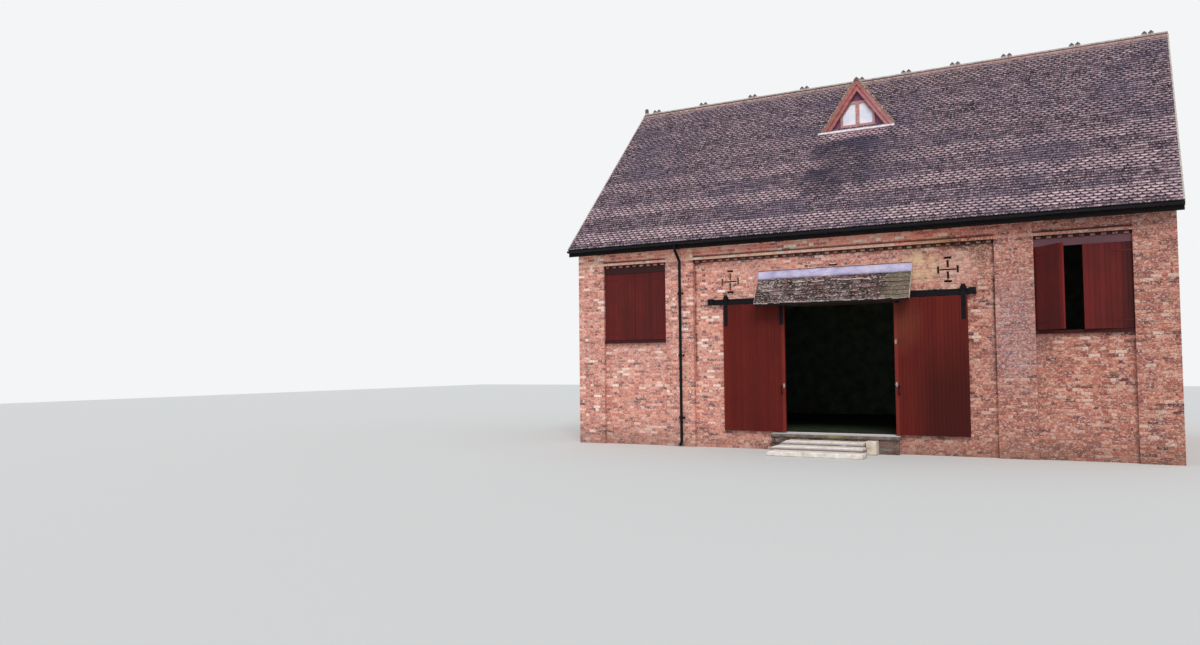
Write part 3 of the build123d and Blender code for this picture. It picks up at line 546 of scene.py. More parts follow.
class Heap:
    """Collects the small parts of one piece, with the marks that its material reads."""

    def __init__(self, seed):
        self.random = np.random.default_rng(seed)
        self.points = []
        self.faces = []
        self.marks = []
        self.count = 0

    def tone(self, middle, spread, high=1.0):
        """A shade near the middle one, between 0 and high."""
        return float(np.clip(self.random.normal(middle, spread), 0, high))

    def add(self, points, faces, mark=PLAIN, places=1.0):
        points = np.asarray(points, float)
        self.points.append(points)
        self.faces.extend([tuple(i + self.count for i in face) for face in faces])
        marks = np.tile([*mark, 1.0], (len(points), 1))
        marks[:, 3] = places
        self.marks.append(marks)
        self.count += len(points)

    def block(self, face, u, v, h, mark=PLAIN, worn=0.004, loose=0.0, closed=False):
        """A block with a worn front: u, v and h are its (low, high) pairs on the face."""
        worn = min(worn, (u[1] - u[0]) / 3, (v[1] - v[0]) / 3)
        points = []
        for inset, height in ((0.0, h[0]), (0.0, h[1] - worn), (worn, h[1])):
            for pu, pv in ((u[0], v[0]), (u[1], v[0]), (u[1], v[1]), (u[0], v[1])):
                su = inset if pu == u[0] else -inset
                sv = inset if pv == v[0] else -inset
                points.append((pu + su, pv + sv, height))
        points = np.array(points)
        if loose:
            points[4:] += self.random.uniform(-loose, loose, (8, 3))
        faces = [(8, 9, 10, 11), *skin(4, 3)]
        if closed:
            faces.append((3, 2, 1, 0))
        self.add(face.at(points), faces, mark)

    def disc(self, face, u, v, radius, h, sides=14):
        """A round boss with a slightly smaller front."""
        angles = [2 * math.pi * step / sides for step in range(sides)]
        points = []
        for size, height in ((radius, h[0]), (radius, h[1] - radius / 6), (radius * 0.85, h[1])):
            points += [(*spot, height) for spot in round_points(u, v, size, angles)]
        self.add(face.at(points), [tuple(range(2 * sides, 3 * sides)), *skin(sides, 3)])

    def piece(self, name, material, slot, body="barn", replaced=()):
        marks = np.concatenate(self.marks)
        return build(name, np.concatenate(self.points), self.faces, material, body, marks, replaced)


def cut_out(rectangles, hole):
    """What is left of each (u0, u1, v0, v1) rectangle outside the hole."""
    least = 0.018
    left = []
    for u0, u1, v0, v1 in rectangles:
        a0, a1, b0, b1 = hole
        if a1 <= u0 or a0 >= u1 or b1 <= v0 or b0 >= v1:
            left.append((u0, u1, v0, v1))
            continue
        low, high = max(v0, b0), min(v1, b1)
        left += [(u0, u1, v0, low), (u0, u1, high, v1)]
        left += [(u0, min(a0, u1), low, high), (max(a1, u0), u1, low, high)]
    return [r for r in left if r[1] - r[0] > least and r[3] - r[2] > least]


def bond(width, odd):
    """Flemish bond for one course of a wall: (start, end, is header) from one end to the other."""
    units = max(0, round((width - STRETCHER) / (STRETCHER + HEADER + 2 * JOINT)))
    if odd:
        middle = [STRETCHER, HEADER] * (units - 1) + [STRETCHER]
        sizes = [HEADER, CLOSER, *middle, CLOSER, HEADER] if units else [HEADER, HEADER]
    else:
        sizes = [STRETCHER, HEADER] * units + [STRETCHER]
    scale = (width - JOINT * (len(sizes) - 1)) / sum(sizes)
    start = 0.0
    for size in sizes:
        yield start, start + size * scale, size == HEADER
        start += size * scale + JOINT


def lay_bricks(heap, face, u, v, holes=(), quoins=(0, 0), slope=None):
    """Lays courses over a rectangle of a wall. A quoin end is a corner of the building, where
    every other brick reaches back 215 mm (1) or starts behind such bricks (-1)."""
    for course in range(int(v[0] / COURSE + 0.01), math.ceil(v[1] / COURSE - 0.01)):
        odd = course % 2
        low = max(v[0], course * COURSE + JOINT / 2)
        high = min(v[1], (course + 1) * COURSE - JOINT / 2)
        if high - low < 0.02:
            continue
        ends = [u[0], u[1]]
        if slope is not None:
            reach = slope(low)
            ends = [max(u[0], -reach), min(u[1], reach)]
        for end, quoin in enumerate(quoins):
            if quoin == -1:
                back = (STRETCHER if odd else HEADER) + JOINT
                ends[end] += back if end == 0 else -back
        if ends[1] - ends[0] < 0.05:
            continue
        row = list(bond(ends[1] - ends[0], odd))
        for index, (start, end, header) in enumerate(row):
            bits = [(ends[0] + start, ends[0] + end, low, high)]
            for hole in holes:
                bits = cut_out(bits, hole)
            corner = (index == 0 and quoins[0] == 1) or (index == len(row) - 1 and quoins[1] == 1)
            depth = STRETCHER if corner and odd else HEADER
            tone = heap.tone(0.5, 0.27)
            if low > BAND_Z and high < BAND_Z + COURSE:
                tone = 0.62 + 0.3 * tone
            burnt = heap.random.random() ** (2 if header else 5)
            proud = BRICK_PROUD + heap.random.uniform(-0.002, 0.002)
            for u0, u1, v0, v1 in bits:
                heap.block(face, (u0, u1), (v0, v1), (proud - depth, proud), (tone, burnt, 0), 0.005, 0.0015)


def vent_slots(u, v):
    """The seven slots of one cross vent, as (u0, u1, v0, v1) holes."""
    arm, thin, reach, bar = 0.028, 0.018, 0.19, 0.09
    slots = [(u - reach, u + reach, v - thin, v + thin)]
    for way in (-1, 1):
        near, far = sorted((v + way * 0.046, v + way * 0.226))
        slots.append((u - arm, u + arm, near, far))
        low, high = sorted((v + way * 0.254, v + way * 0.31))
        slots.append((u - bar, u + bar, low, high))
        left, right = sorted((u + way * 0.194, u + way * 0.25))
        slots.append((left, right, v - bar, v + bar))
    return slots


def long_wall(heap, side, doorway):
    """The bricks of the front (side -1) or back wall: piers, panels, dentils and string course."""
    pier, panel, band = (upright(side * y, side) for y in (HALF_DEPTH, PANEL, BAND))
    above = (BAND_Z + COURSE, WALL_TOP)
    for way in (-1, 1):
        for near, far, quoin in ((BAY_OUTER, HALF_LENGTH, 1), (CENTRE_HALF, BAY_INNER, 0)):
            u = pair(way, near - BRICK_PROUD / 2, far + quoin * BRICK_PROUD)
            quoins = (0, quoin) if way == 1 else (quoin, 0)
            lay_bricks(heap, pier, u, (0, BAND_Z), (), quoins)
            lay_bricks(heap, pier, u, above, (), quoins)
    ends = HALF_LENGTH + BRICK_PROUD
    lay_bricks(heap, pier, (-ends, ends), (BAND_Z, BAND_Z + COURSE), (), (1, 1))
    vent_z = 4.44 if side == -1 else 4.594
    holes = vent_slots(-VENT_X, vent_z) + vent_slots(VENT_X, vent_z)
    if doorway:
        holes.append((-DOOR_HALF, DOOR_HALF, 0, DOOR_HEAD))
        holes.append((-LINTEL_HALF, LINTEL_HALF, DOOR_HEAD, LINTEL_TOP))
        holes.append((*AIR_SLOT[0], *AIR_SLOT[1]))
    for low, high in ((-BAY_OUTER, -BAY_INNER), (-CENTRE_HALF, CENTRE_HALF), (BAY_INNER, BAY_OUTER)):
        hatch = doorway and abs(low + high) > 1
        u = (low + 0.002, high - 0.002)
        lay_bricks(heap, panel, u, (0, HATCH_SILL if hatch else DENTIL_Z), holes)
        lay_bricks(heap, band, u, above)
        count = round((high - low) / DENTIL_PITCH)
        pitch = (high - low) / count
        for index in range(count):
            middle = low + (index + 0.5) * pitch
            for shift, out in ((0.0, 0.075), (pitch / 2, 0.012)):
                start = middle + shift - HEADER / 2
                if start + HEADER > high:
                    continue
                mark = (heap.random.random(), 0.3, 0)
                v = (DENTIL_Z + JOINT / 2, BAND_Z - JOINT / 2)
                heap.block(panel, (start, start + HEADER), v, (-0.03, out), mark, 0.005, 0.0015)


def gable_wall(heap, side):
    """The bricks of one gable: a pilaster between two sunk panels, plain above them."""
    face = Face((side * HALF_LENGTH, 0, 0), (side, 0, 0))
    sunk = Face((side * (HALF_LENGTH - PANEL_DEPTH), 0, 0), (side, 0, 0))
    inner, outer = GABLE_PANEL
    lay_bricks(heap, face, (-inner, inner), (0, BAND_Z))
    for way in (-1, 1):
        quoins = (0, -1) if way == 1 else (-1, 0)
        lay_bricks(heap, face, pair(way, outer, HALF_DEPTH), (0, BAND_Z), (), quoins)
        lay_bricks(heap, sunk, pair(way, inner + 0.002, outer - 0.002), (0, BAND_Z))
    slots = vent_slots(0, GABLE_VENT_Z)
    top = WALL_TOP + HALF_DEPTH * math.tan(ROOF_ANGLE)
    shoulder = 73 * COURSE

    def reach(z):
        return min(HALF_DEPTH, (top - z) / math.tan(ROOF_ANGLE))

    lay_bricks(heap, face, (-HALF_DEPTH, HALF_DEPTH), (BAND_Z, shoulder), slots, (-1, -1))
    lay_bricks(heap, face, (-HALF_DEPTH, HALF_DEPTH), (shoulder, top), slots, (0, 0), reach)


def tile_shape(width, tail, rounded):
    """The outline of one tile from its tail up, as (u, v) pairs."""
    half = width / 2
    if not rounded:
        return [(-half, 0.0), (half, 0.0), (half, tail), (-half, tail)]
    arc = [math.pi * (1 + step / 8) for step in range(9)]
    curve = [(half * math.cos(a), half * 0.92 * (1 + math.sin(a))) for a in arc]
    return [*curve, (half, tail), (-half, tail)]


def lay_tile(heap, face, u, v, width, limits, rounded, thickness, lean, mark, lift=0.0, top=100.0):
    """One tile with its tail at v, lying up the slope and cut at the verges and at the top."""
    outline = [(pu, min(pv, top - v)) for pu, pv in tile_shape(width, 0.2, rounded)]
    turn = heap.random.normal(0, 0.006)
    lift += heap.random.normal(0, 0.0012)
    tops = []
    for pu, pv in outline:
        along = min(limits[1], max(limits[0], u + pu - pv * turn))
        tops.append((along, v + pv + pu * turn, lift - pv * lean))
    count = len(tops)
    bottoms = [(pu, pv, ph - thickness) for pu, pv, ph in tops]
    faces = [tuple(range(count))]
    head = count - 2
    for index in range(count):
        if index != head:
            after = (index + 1) % count
            faces.append((index, index + count, after + count, after))
    places = [pv / 0.2 for pu, pv in outline]
    heap.add(face.at(tops + bottoms), faces, mark, places + places)


def tile_slope(heap, side):
    """One slope of the main roof: bands of rounded tiles between bands of plain ones."""
    face = roof_face(side)
    dormer = side == -1
    limits = (-ROOF_HALF, ROOF_HALF)
    for row in range(69):
        v = row * TILE_GAUGE - 0.015
        rounded = row > 1 and (row - 2) % 12 < 5
        glow = 0.0
        if rounded:
            glow = 0.75 if row < 7 else 0.58 if row < 19 else 0.42 if row < 31 else 0.26
        for place in range(-1, 91):
            u = -ROOF_HALF + (place + 0.5 + 0.5 * (row % 2)) * TILE_PITCH
            if u - TILE_PITCH / 2 > ROOF_HALF - 0.02 or u + TILE_PITCH / 2 < -ROOF_HALF + 0.02:
                continue
            x = -side * u
            tone = heap.tone(0.42 if rounded else 0.36, 0.24, 0.82)
            pale = glow * heap.random.uniform(0.4, 1.6)
            rust = 0.0
            if heap.random.random() < 0.03:
                pale += 0.3
            if not rounded and row % 2 and row < 32 and (abs(x - 6.83) < 0.09 or x > 7.3):
                pale += 0.75 * heap.random.random()
            if v > 6.88:
                rust = 0.7
            elif v > 6.2 and heap.random.random() < (0.5 if 2.4 < x < 3.3 else 0.06):
                rust = 0.7
            if dormer and abs(x - DORMER_X) < 0.42 and 4.6 < v < 5.42:
                continue
            if dormer and -0.75 < x < 0.85 and 4.06 < v < 4.5:
                pale = 0.6 * heap.random.random() + 0.4
            mark = (tone, min(1.0, pale), rust)
            where = Vector((u * 0.7, v * 0.9, side))
            lift = 0.020 + 0.007 * noise.noise(where)
            sag = 0.008 * noise.noise(where + Vector((9, 0, 0)))
            width = TILE_PITCH - 0.006
            lay_tile(heap, face, u, v + sag, width, limits, rounded, 0.014, TILE_LEAN, mark, lift)


def on_canopy(x, v, h):
    """The spot v up the canopy's slope and h out of it."""
    cos, sin = math.cos(CANOPY_ANGLE), math.sin(CANOPY_ANGLE)
    y, z = CANOPY_FOOT
    return x, y + v * cos - h * sin, z + v * sin + h * cos


def loft(name, rings, material, replaced):
    """A smooth skin over rings of equal length, with both ends closed."""
    count = len(rings[0])
    points = [p for ring in rings for p in ring]
    faces = skin(count, len(rings))
    faces.append(tuple(reversed(range(count))))
    faces.append(tuple(range((len(rings) - 1) * count, len(rings) * count)))
    piece = build(name, points, faces, material, replaced=replaced)
    mesh = bmesh.new()
    mesh.from_mesh(piece.data)
    bmesh.ops.recalc_face_normals(mesh, faces=mesh.faces)
    mesh.to_mesh(piece.data)
    mesh.free()
    for polygon in piece.data.polygons:
        polygon.use_smooth = True


def boards(heap, face, u, v, h, count, shades):
    """Upright boards side by side; shades sets the tone of some of them, on the hatches painted highlights
    and painted shade.
    """
    width = (u[1] - u[0]) / count
    for index in range(count):
        tone = heap.tone(0.45, 0.06)
        tone = shades.get(index, shades.get(index - count, tone))
        start = u[0] + index * width
        lift = heap.random.uniform(-0.0006, 0.0006)
        span = (start + 0.001, start + width - 0.001)
        heap.block(face, span, v, (h[0], h[1] + lift), (tone, 0, 0), 0.002)


def half_round(heap, x, z, span, radius, sides=9):
    """A half-round ridge tile along y over the spot x, z, with a rim at its front end."""
    angles = np.linspace(-0.5, math.pi + 0.5, sides)
    points = []
    for y, swell in ((span[0], 0.004), (span[0] + 0.04, 0.006), (span[0] + 0.045, 0.0), (span[1], 0.0)):
        points += [(px, y, pz) for px, pz in round_points(x, z, radius + swell, angles)]
    points = np.array(points) + heap.random.uniform(-0.003, 0.003, (len(points), 3))
    faces = [tuple(range(sides)), tuple(range(4 * sides - 1, 3 * sides - 1, -1))]
    for ring in range(3):
        for index in range(sides - 1):
            base = ring * sides + index
            faces.append((base, base + sides, base + sides + 1, base + 1))
    heap.add(points, faces)


def hoop(heap, centre, x, half, inner, outer, sides=12):
    """The lower half of a ring round a gutter: its middle at x, its radii inner and outer."""
    angles = [math.pi + math.pi * step / sides for step in range(sides + 1)]
    points = []
    for end in (x - half, x + half):
        for radius in (inner, outer):
            points += [(end, *spot) for spot in round_points(*centre, radius, angles)]
    n = sides + 1
    faces = []
    for i in range(sides):
        faces.append((i, i + 1, 2 * n + i + 1, 2 * n + i))
        faces.append((n + i, 3 * n + i, 3 * n + i + 1, n + i + 1))
        faces.append((i, n + i, n + i + 1, i + 1))
        faces.append((2 * n + i, 2 * n + i + 1, 3 * n + i + 1, 3 * n + i))
    faces.append((0, 2 * n, 3 * n, n))
    faces.append((n - 1, 2 * n - 1, 4 * n - 1, 3 * n - 1))
    heap.add(points, faces)


def ring_around(heap, x, y, z, inner, outer, height, sides=16):
    """A short collar round an upright pipe."""
    angles = [2 * math.pi * step / sides for step in range(sides)]
    points = []
    for level in (z, z + height):
        for radius in (inner, outer):
            points += [(*spot, level) for spot in round_points(x, y, radius, angles)]
    faces = []
    for i in range(sides):
        j = (i + 1) % sides
        faces.append((sides + i, sides + j, 3 * sides + j, 3 * sides + i))
        faces.append((j, sides + j, sides + i, i))
        faces.append((2 * sides + i, 3 * sides + i, 3 * sides + j, 2 * sides + j))
    heap.add(points, faces)


def stone(name, outline, y, material, replaced, voxel, wear, seed):
    """A worn block: the (x, z) outline pushed from y[0] to y[1], remeshed and rubbed."""
    mesh = bmesh.new()
    rings = [[mesh.verts.new((x, side, z)) for x, z in outline] for side in y]
    mesh.faces.new(rings[0])
    mesh.faces.new(list(reversed(rings[1])))
    for index in range(len(outline)):
        after = (index + 1) % len(outline)
        mesh.faces.new((rings[0][index], rings[1][index], rings[1][after], rings[0][after]))
    bmesh.ops.recalc_face_normals(mesh, faces=mesh.faces)
    bmesh.ops.bevel(
        mesh, geom=list(mesh.edges), offset=voxel * 1.1, segments=3, profile=0.5, affect="EDGES",
    )
    data = bpy.data.meshes.new(name)
    mesh.to_mesh(data)
    mesh.free()
    piece = put(name, data)
    remesh = piece.modifiers.new("remesh", "REMESH")
    remesh.mode = "VOXEL"
    remesh.voxel_size = voxel
    bpy.context.view_layer.update()
    data = bpy.data.meshes.new_from_object(piece.evaluated_get(bpy.context.evaluated_depsgraph_get()))
    piece.modifiers.clear()
    piece.data = data
    data.name = name
    for vertex in data.vertices:
        broad = noise.noise(vertex.co * 2.2 + Vector((seed * 7.3, 0, 0)))
        rub = broad * 0.8 + noise.noise(vertex.co * 7 + Vector((seed, 0, 0))) * 0.2
        vertex.co += vertex.normal * (rub - 0.35) * wear
        vertex.co.z = max(vertex.co.z, 0.0)
    for polygon in data.polygons:
        polygon.use_smooth = True
    data.materials.append(material)
    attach(piece, "barn")
    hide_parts(replaced)


# Materials
brick = make_brick()
mortar = make_mortar()
roof_tile = make_roof_tile()
canopy_tile = make_canopy_tile()
dark_iron = make_plain(
    "black iron", ((0.3, 8, 8, 12), (0.6, 18, 18, 25), (0.8, 36, 30, 30)), 30, roughness=0.6,
)
gutter_paint = make_plain(
    "gutter paint", ((0.3, 8, 9, 13), (0.6, 16, 17, 24), (0.8, 30, 32, 38)), 9, (0.4, 1, 1), 0.3,
    Specular_IOR_Level=0.25,
)
dark_timber = make_plain("dark timber", ((0.3, 16, 13, 14), (0.7, 36, 29, 29)), 6, (1, 8, 8), 0.8)
roof_timber = make_plain("roof timber", ((0.3, 50, 42, 40), (0.7, 88, 74, 68)), 5, (8, 1, 1), 0.85)
# Oak darkened as painted shade, for the lintel under the canopy
oak = make_plain("oak", ((0.3, 40, 29, 24), (0.7, 66, 50, 40)), 5, (1, 9, 9), 0.8)
red_door = make_door_paint("red door", (95, 28, 22), (124, 46, 37), (70, 21, 18))
red_hatch = make_door_paint("red hatch", (96, 34, 32), (130, 38, 42), (58, 25, 26))
salmon = make_salmon()
frame_paint = make_plain(
    "window paint", ((0.3, 160, 112, 110), (0.5, 184, 136, 134), (0.7, 202, 158, 154)), 12,
)
gable_board = make_plain("dormer boards", ((0.3, 112, 68, 92), (0.7, 142, 94, 118)), 6, (9, 9, 0.5), 0.75)
glass = make_glass()
ridge_tile = make_ridge()
lead = make_lead()
white_lead = make_plain("dormer lead", ((0.35, 206, 200, 206), (0.6, 240, 236, 238)), 14, roughness=0.6)
verge = make_plain(
    "verge mortar", ((0.3, 150, 140, 132), (0.6, 198, 188, 176)), 18, roughness=0.95, bump=0.006,
)
crumbly = make_plain(
    "crumbly mortar", ((0.36, 92, 72, 62), (0.5, 148, 122, 108), (0.62, 218, 194, 186)), 24,
    roughness=0.95, bump=0.006,
)
# The floor inside the barn: dark green, partly painted shade for the dim inside
floor_with_painted_shade = make_plain("worn floor", ((0.3, 30, 38, 28), (0.7, 58, 66, 48)), 3, roughness=0.8)
step_stone = make_stone(
    "step stone", (202, 191, 178), (228, 220, 210), (243, 238, 231), (92, 72, 62), STEP_EDGES,
)
slab_stone = make_stone(
    "threshold stone", (84, 78, 70), (108, 100, 90), (142, 132, 122), (66, 58, 48), top=FLOOR_Z,
)
block_stone = make_stone("block stone", (190, 172, 156), (214, 199, 184), (234, 221, 208), (138, 116, 98))
worn_steel = make_plain(
    "worn steel", ((0.35, 128, 120, 116), (0.6, 188, 178, 170)), 26, roughness=0.45, Metallic=0.3,
)

# The frame's own pieces that keep their shape get their finishes
finishes = {
    mortar: (
        "front_wall_left", "front_wall_right", "front_wall_over_door", "back_wall",
        "left_gable_wall", "right_gable_wall", "threshold_plinth",
    ),
    roof_timber: ("front_roof_slope", "back_roof_slope", "dormer_roof_left", "dormer_roof_right"),
    dark_timber: ("eaves_boards", "door_track_board", "canopy_brackets", "canopy_roof"),
    dark_iron: (
        "front_downpipe", "back_downpipe", "door_track_rail", "left_door_ironwork", "right_door_ironwork",
    ),
    gutter_paint: ("front_gutter", "back_gutter"),
    oak: ("doorway_lintel",),
    red_door: ("left_door_leaf", "right_door_leaf"),
    red_hatch: (
        "left_hatch_frame", "left_hatch_left_leaf", "left_hatch_right_leaf",
        "right_hatch_frame", "right_hatch_left_leaf", "right_hatch_right_leaf",
    ),
    salmon: ("dormer_bargeboards",),
    frame_paint: ("dormer_window_frame",),
    gable_board: ("dormer_gable_face",),
    glass: ("dormer_window_glass",),
    ridge_tile: ("ridge_tiles",),
    floor_with_painted_shade: ("floor",),
}
for material, names in finishes.items():
    for name in names:
        nodes[name].data.materials.clear()
        nodes[name].data.materials.append(material)

# Brickwork
for side, name in ((-1, "front_bricks"), (1, "back_bricks")):
    heap = Heap(11 + side)
    long_wall(heap, side, side == -1)
    if side == -1:
        for way in (-1, 1):
            jamb = Face((way * DOOR_HALF, 0, 0), (-way, 0, 0))
            span = pair(way, HALF_DEPTH - 0.445, PANEL - 0.115)
            lay_bricks(heap, jamb, span, (FLOOR_Z, DOOR_HEAD))
    heap.piece(name, brick, "brick")
for side, name in ((-1, "left_gable_bricks"), (1, "right_gable_bricks")):
    heap = Heap(21 + side)
    gable_wall(heap, side)
    heap.piece(name, brick, "brick")
heap = Heap(31)
lay_bricks(heap, upright(-4.85), (-1.605, 1.605), (0, PLINTH_TOP), (), (1, 1))
for way in (-1, 1):
    side_face = Face((way * 1.6, 0, 0), (way, 0, 0))
    lay_bricks(heap, side_face, pair(-way, 4.595, 4.74), (0, PLINTH_TOP))
heap.piece("plinth_bricks", brick, "brick")

# Main roof
for side, name in ((-1, "front_tiles"), (1, "back_tiles")):
    heap = Heap(41 + side)
    tile_slope(heap, side)
    heap.piece(name, roof_tile, "roof_tile")
heap = Heap(51)
boarding = Heap(52)
for side in (-1, 1):
    slope = roof_face(side)
    for way in (-1, 1):
        u = pair(way, ROOF_HALF - 0.022, ROOF_HALF + 0.012)
        for start in np.arange(0.0, 7.0, TILE_GAUGE):
            v = (start, min(start + 0.104, 7.1))
            heap.block(slope, u, v, (-0.04, 0.021), PLAIN, 0.006, 0.003)
        u = pair(way, ROOF_HALF - 0.005, ROOF_HALF + 0.016)
        boarding.block(slope, u, (0.06, 7.18), (-0.2, -0.041), PLAIN, 0.003)
heap.piece("verge_mortar", verge, "roof_tile")
boarding.piece("verge_boards", dark_timber, "dark_timber")

# Dormer: tiled sides, a capping on its ridge, crumbling verges and a lead apron
top = math.hypot(DORMER_APEX - DORMER_LOW, DORMER_HALF) - 0.012
heap = Heap(61)
for way in (-1, 1):
    for row in range(17):
        v = row * TILE_GAUGE - 0.01
        rise = RIDGE_Z - DORMER_LOW - (v + 0.05) * math.sin(DORMER_ANGLE)
        meet = -rise / math.tan(ROOF_ANGLE) + 0.03
        limits = pair(way, -1.9, meet)
        for place in range(-12, 13):
            u = (place + 0.5 * (row % 2)) * TILE_PITCH
            if u + TILE_PITCH / 2 < limits[0] + 0.02 or u - TILE_PITCH / 2 > limits[1] - 0.02:
                continue
            mark = (heap.tone(0.35, 0.2), 0.2 * heap.random.random(), 0.3)
            width = TILE_PITCH - 0.004
            lay_tile(
                heap, dormer_face(way), u, v, width, limits, False, 0.012, TILE_LEAN, mark, 0.014, top,
            )
heap.piece("dormer_tiles", roof_tile, "roof_tile")

heap = Heap(62)
for start in np.arange(-1.9, -0.5, CAP_LENGTH):
    half_round(heap, DORMER_X, DORMER_APEX - 0.058, (start, min(start + 0.345, -0.44)), 0.08)
heap.piece("dormer_ridge_capping", ridge_tile, "ridge_tile")

heap = Heap(63)
for way in (-1, 1):
    for start in np.arange(0.02, 1.68, 0.075):
        reach = heap.random.uniform(0.035, 0.06)
        v = (start, start + 0.08 + heap.random.uniform(-0.02, 0.01))
        h = (0.004, 0.036 + heap.random.uniform(-0.006, 0.006))
        heap.block(dormer_face(way), pair(way, -1.915, -1.915 + reach), v, h, PLAIN, 0.008, 0.006)
heap.piece("dormer_verge_mortar", crumbly, "roof_tile")

rings = []
for step in range(61):
    x = -1.075 + 2.13 * step / 60
    flap = 0.008 * noise.noise(Vector((x * 13, 2, 3)))
    drop = 0.020 + 0.014 * noise.noise(Vector((x * 5, 0, 3))) + flap
    back_y = -1.93
    foot_y = back_y - drop * 0.9
    back_z, foot_z = (RIDGE_Z + y * ROOF_RISE for y in (back_y, foot_y))
    rings.append([
        (x, back_y + 0.015, back_z + 0.012), (x, back_y + 0.012, back_z + 0.046 + flap),
        (x, back_y - 0.003, back_z + 0.05 + flap), (x, back_y - 0.010, back_z + 0.034),
        (x, foot_y, foot_z + 0.034), (x, foot_y - 0.006, foot_z + 0.012),
    ])
loft("apron_lead", rings, white_lead, ("dormer_apron",))

# Canopy over the doorway: rows of old tiles, a lead capping and mortared verges
cos, sin = math.cos(CANOPY_ANGLE), math.sin(CANOPY_ANGLE)
face = Face((0, *CANOPY_FOOT), (0, -sin, cos), (0, cos, sin))
limits = (-CANOPY_HALF, CANOPY_HALF)
heap = Heap(71)
for row in range(7):
    v = row * 0.122 - 0.02
    for place in range(-13, 14):
        u = (place + 0.5 * (row % 2)) * OLD_TILE_PITCH
        if abs(u) - OLD_TILE_PITCH / 2 > CANOPY_HALF - 0.02:
            continue
        tone = heap.tone(0.45, 0.3)
        pale = 0.8 * heap.random.random() if row > 5 and u < 0.9 else 0.3 * heap.random.random() ** 3
        limed = 0.0
        if row == 5 and -1.0 < u < 1.2 and heap.random.random() < 0.8:
            limed = 1.0
        elif row == 0:
            limed = 0.8 * heap.random.random()
        drop = heap.random.normal(0, 0.009)
        width = OLD_TILE_PITCH - 0.004
        lay_tile(heap, face, u, v + drop, width, limits, False, 0.013, 0.105, (tone, pale, limed), 0.016)
heap.piece("canopy_tiles", canopy_tile, "mossy_tile")

heap = Heap(72)
for way in (-1, 1):
    u = pair(way, CANOPY_HALF - 0.012, CANOPY_HALF + 0.012)
    for start in np.arange(0.0, 0.8, 0.11):
        heap.block(face, u, (start, start + 0.112), (-0.05, 0.004), PLAIN, 0.004, 0.003)
heap.piece("canopy_verge_mortar", verge, "mossy_tile")

rings = []
for step in range(121):
    x = -1.965 + 3.93 * step / 120
    sag = noise.noise(Vector((x * 3.1, 5, 1))) * 0.5 + noise.noise(Vector((x * 9, 5, 1))) * 0.25
    seam = 0.007 * math.exp(-(((x - 0.62) / 0.02) ** 2)) + 0.007 * math.exp(-(((x + 0.72) / 0.02) ** 2))
    lap = 0.20 + 0.02 * sag
    head = 0.94
    lift = 0.030 + 0.004 * sag + seam
    crest = 4.655 + 0.006 * sag
    rings.append([
        on_canopy(x, head - lap, lift - 0.004), on_canopy(x, head - lap * 0.6, lift),
        on_canopy(x, head - 0.03, lift + 0.002), (x, -4.614 - seam, 4.622),
        (x, -4.602 - seam, crest - 0.01), (x, -4.598, crest), (x, -4.59, crest), (x, -4.588, 4.60),
        on_canopy(x, head - 0.03, 0.004), on_canopy(x, head - lap, 0.004),
    ])
loft("canopy_lead", rings, lead, ("canopy_flashing",))

heap = Heap(73)
under = Face((0, *CANOPY_FOOT), (0, -1, 0))
for start in np.arange(-1.93, 1.9, 0.43):
    heap.block(under, (start, start + 0.426), (-0.07, -0.006), (-0.002, 0.016), PLAIN, 0.003, 0.001)
heap.piece("canopy_fascia", dark_timber, "dark_timber")
heap = Heap(74)
heap.block(upright(-PANEL), *AIR_SLOT, (-0.03, 0.001), (0.2, 0, 0), 0.001)
for bar in range(5):
    u = -0.07 + bar * 0.045
    heap.block(upright(-PANEL), (u, u + 0.012), AIR_SLOT[1], (0.0, 0.004), (0.9, 0, 0), 0.001)
heap.piece("air_brick", dark_iron, "black_iron")

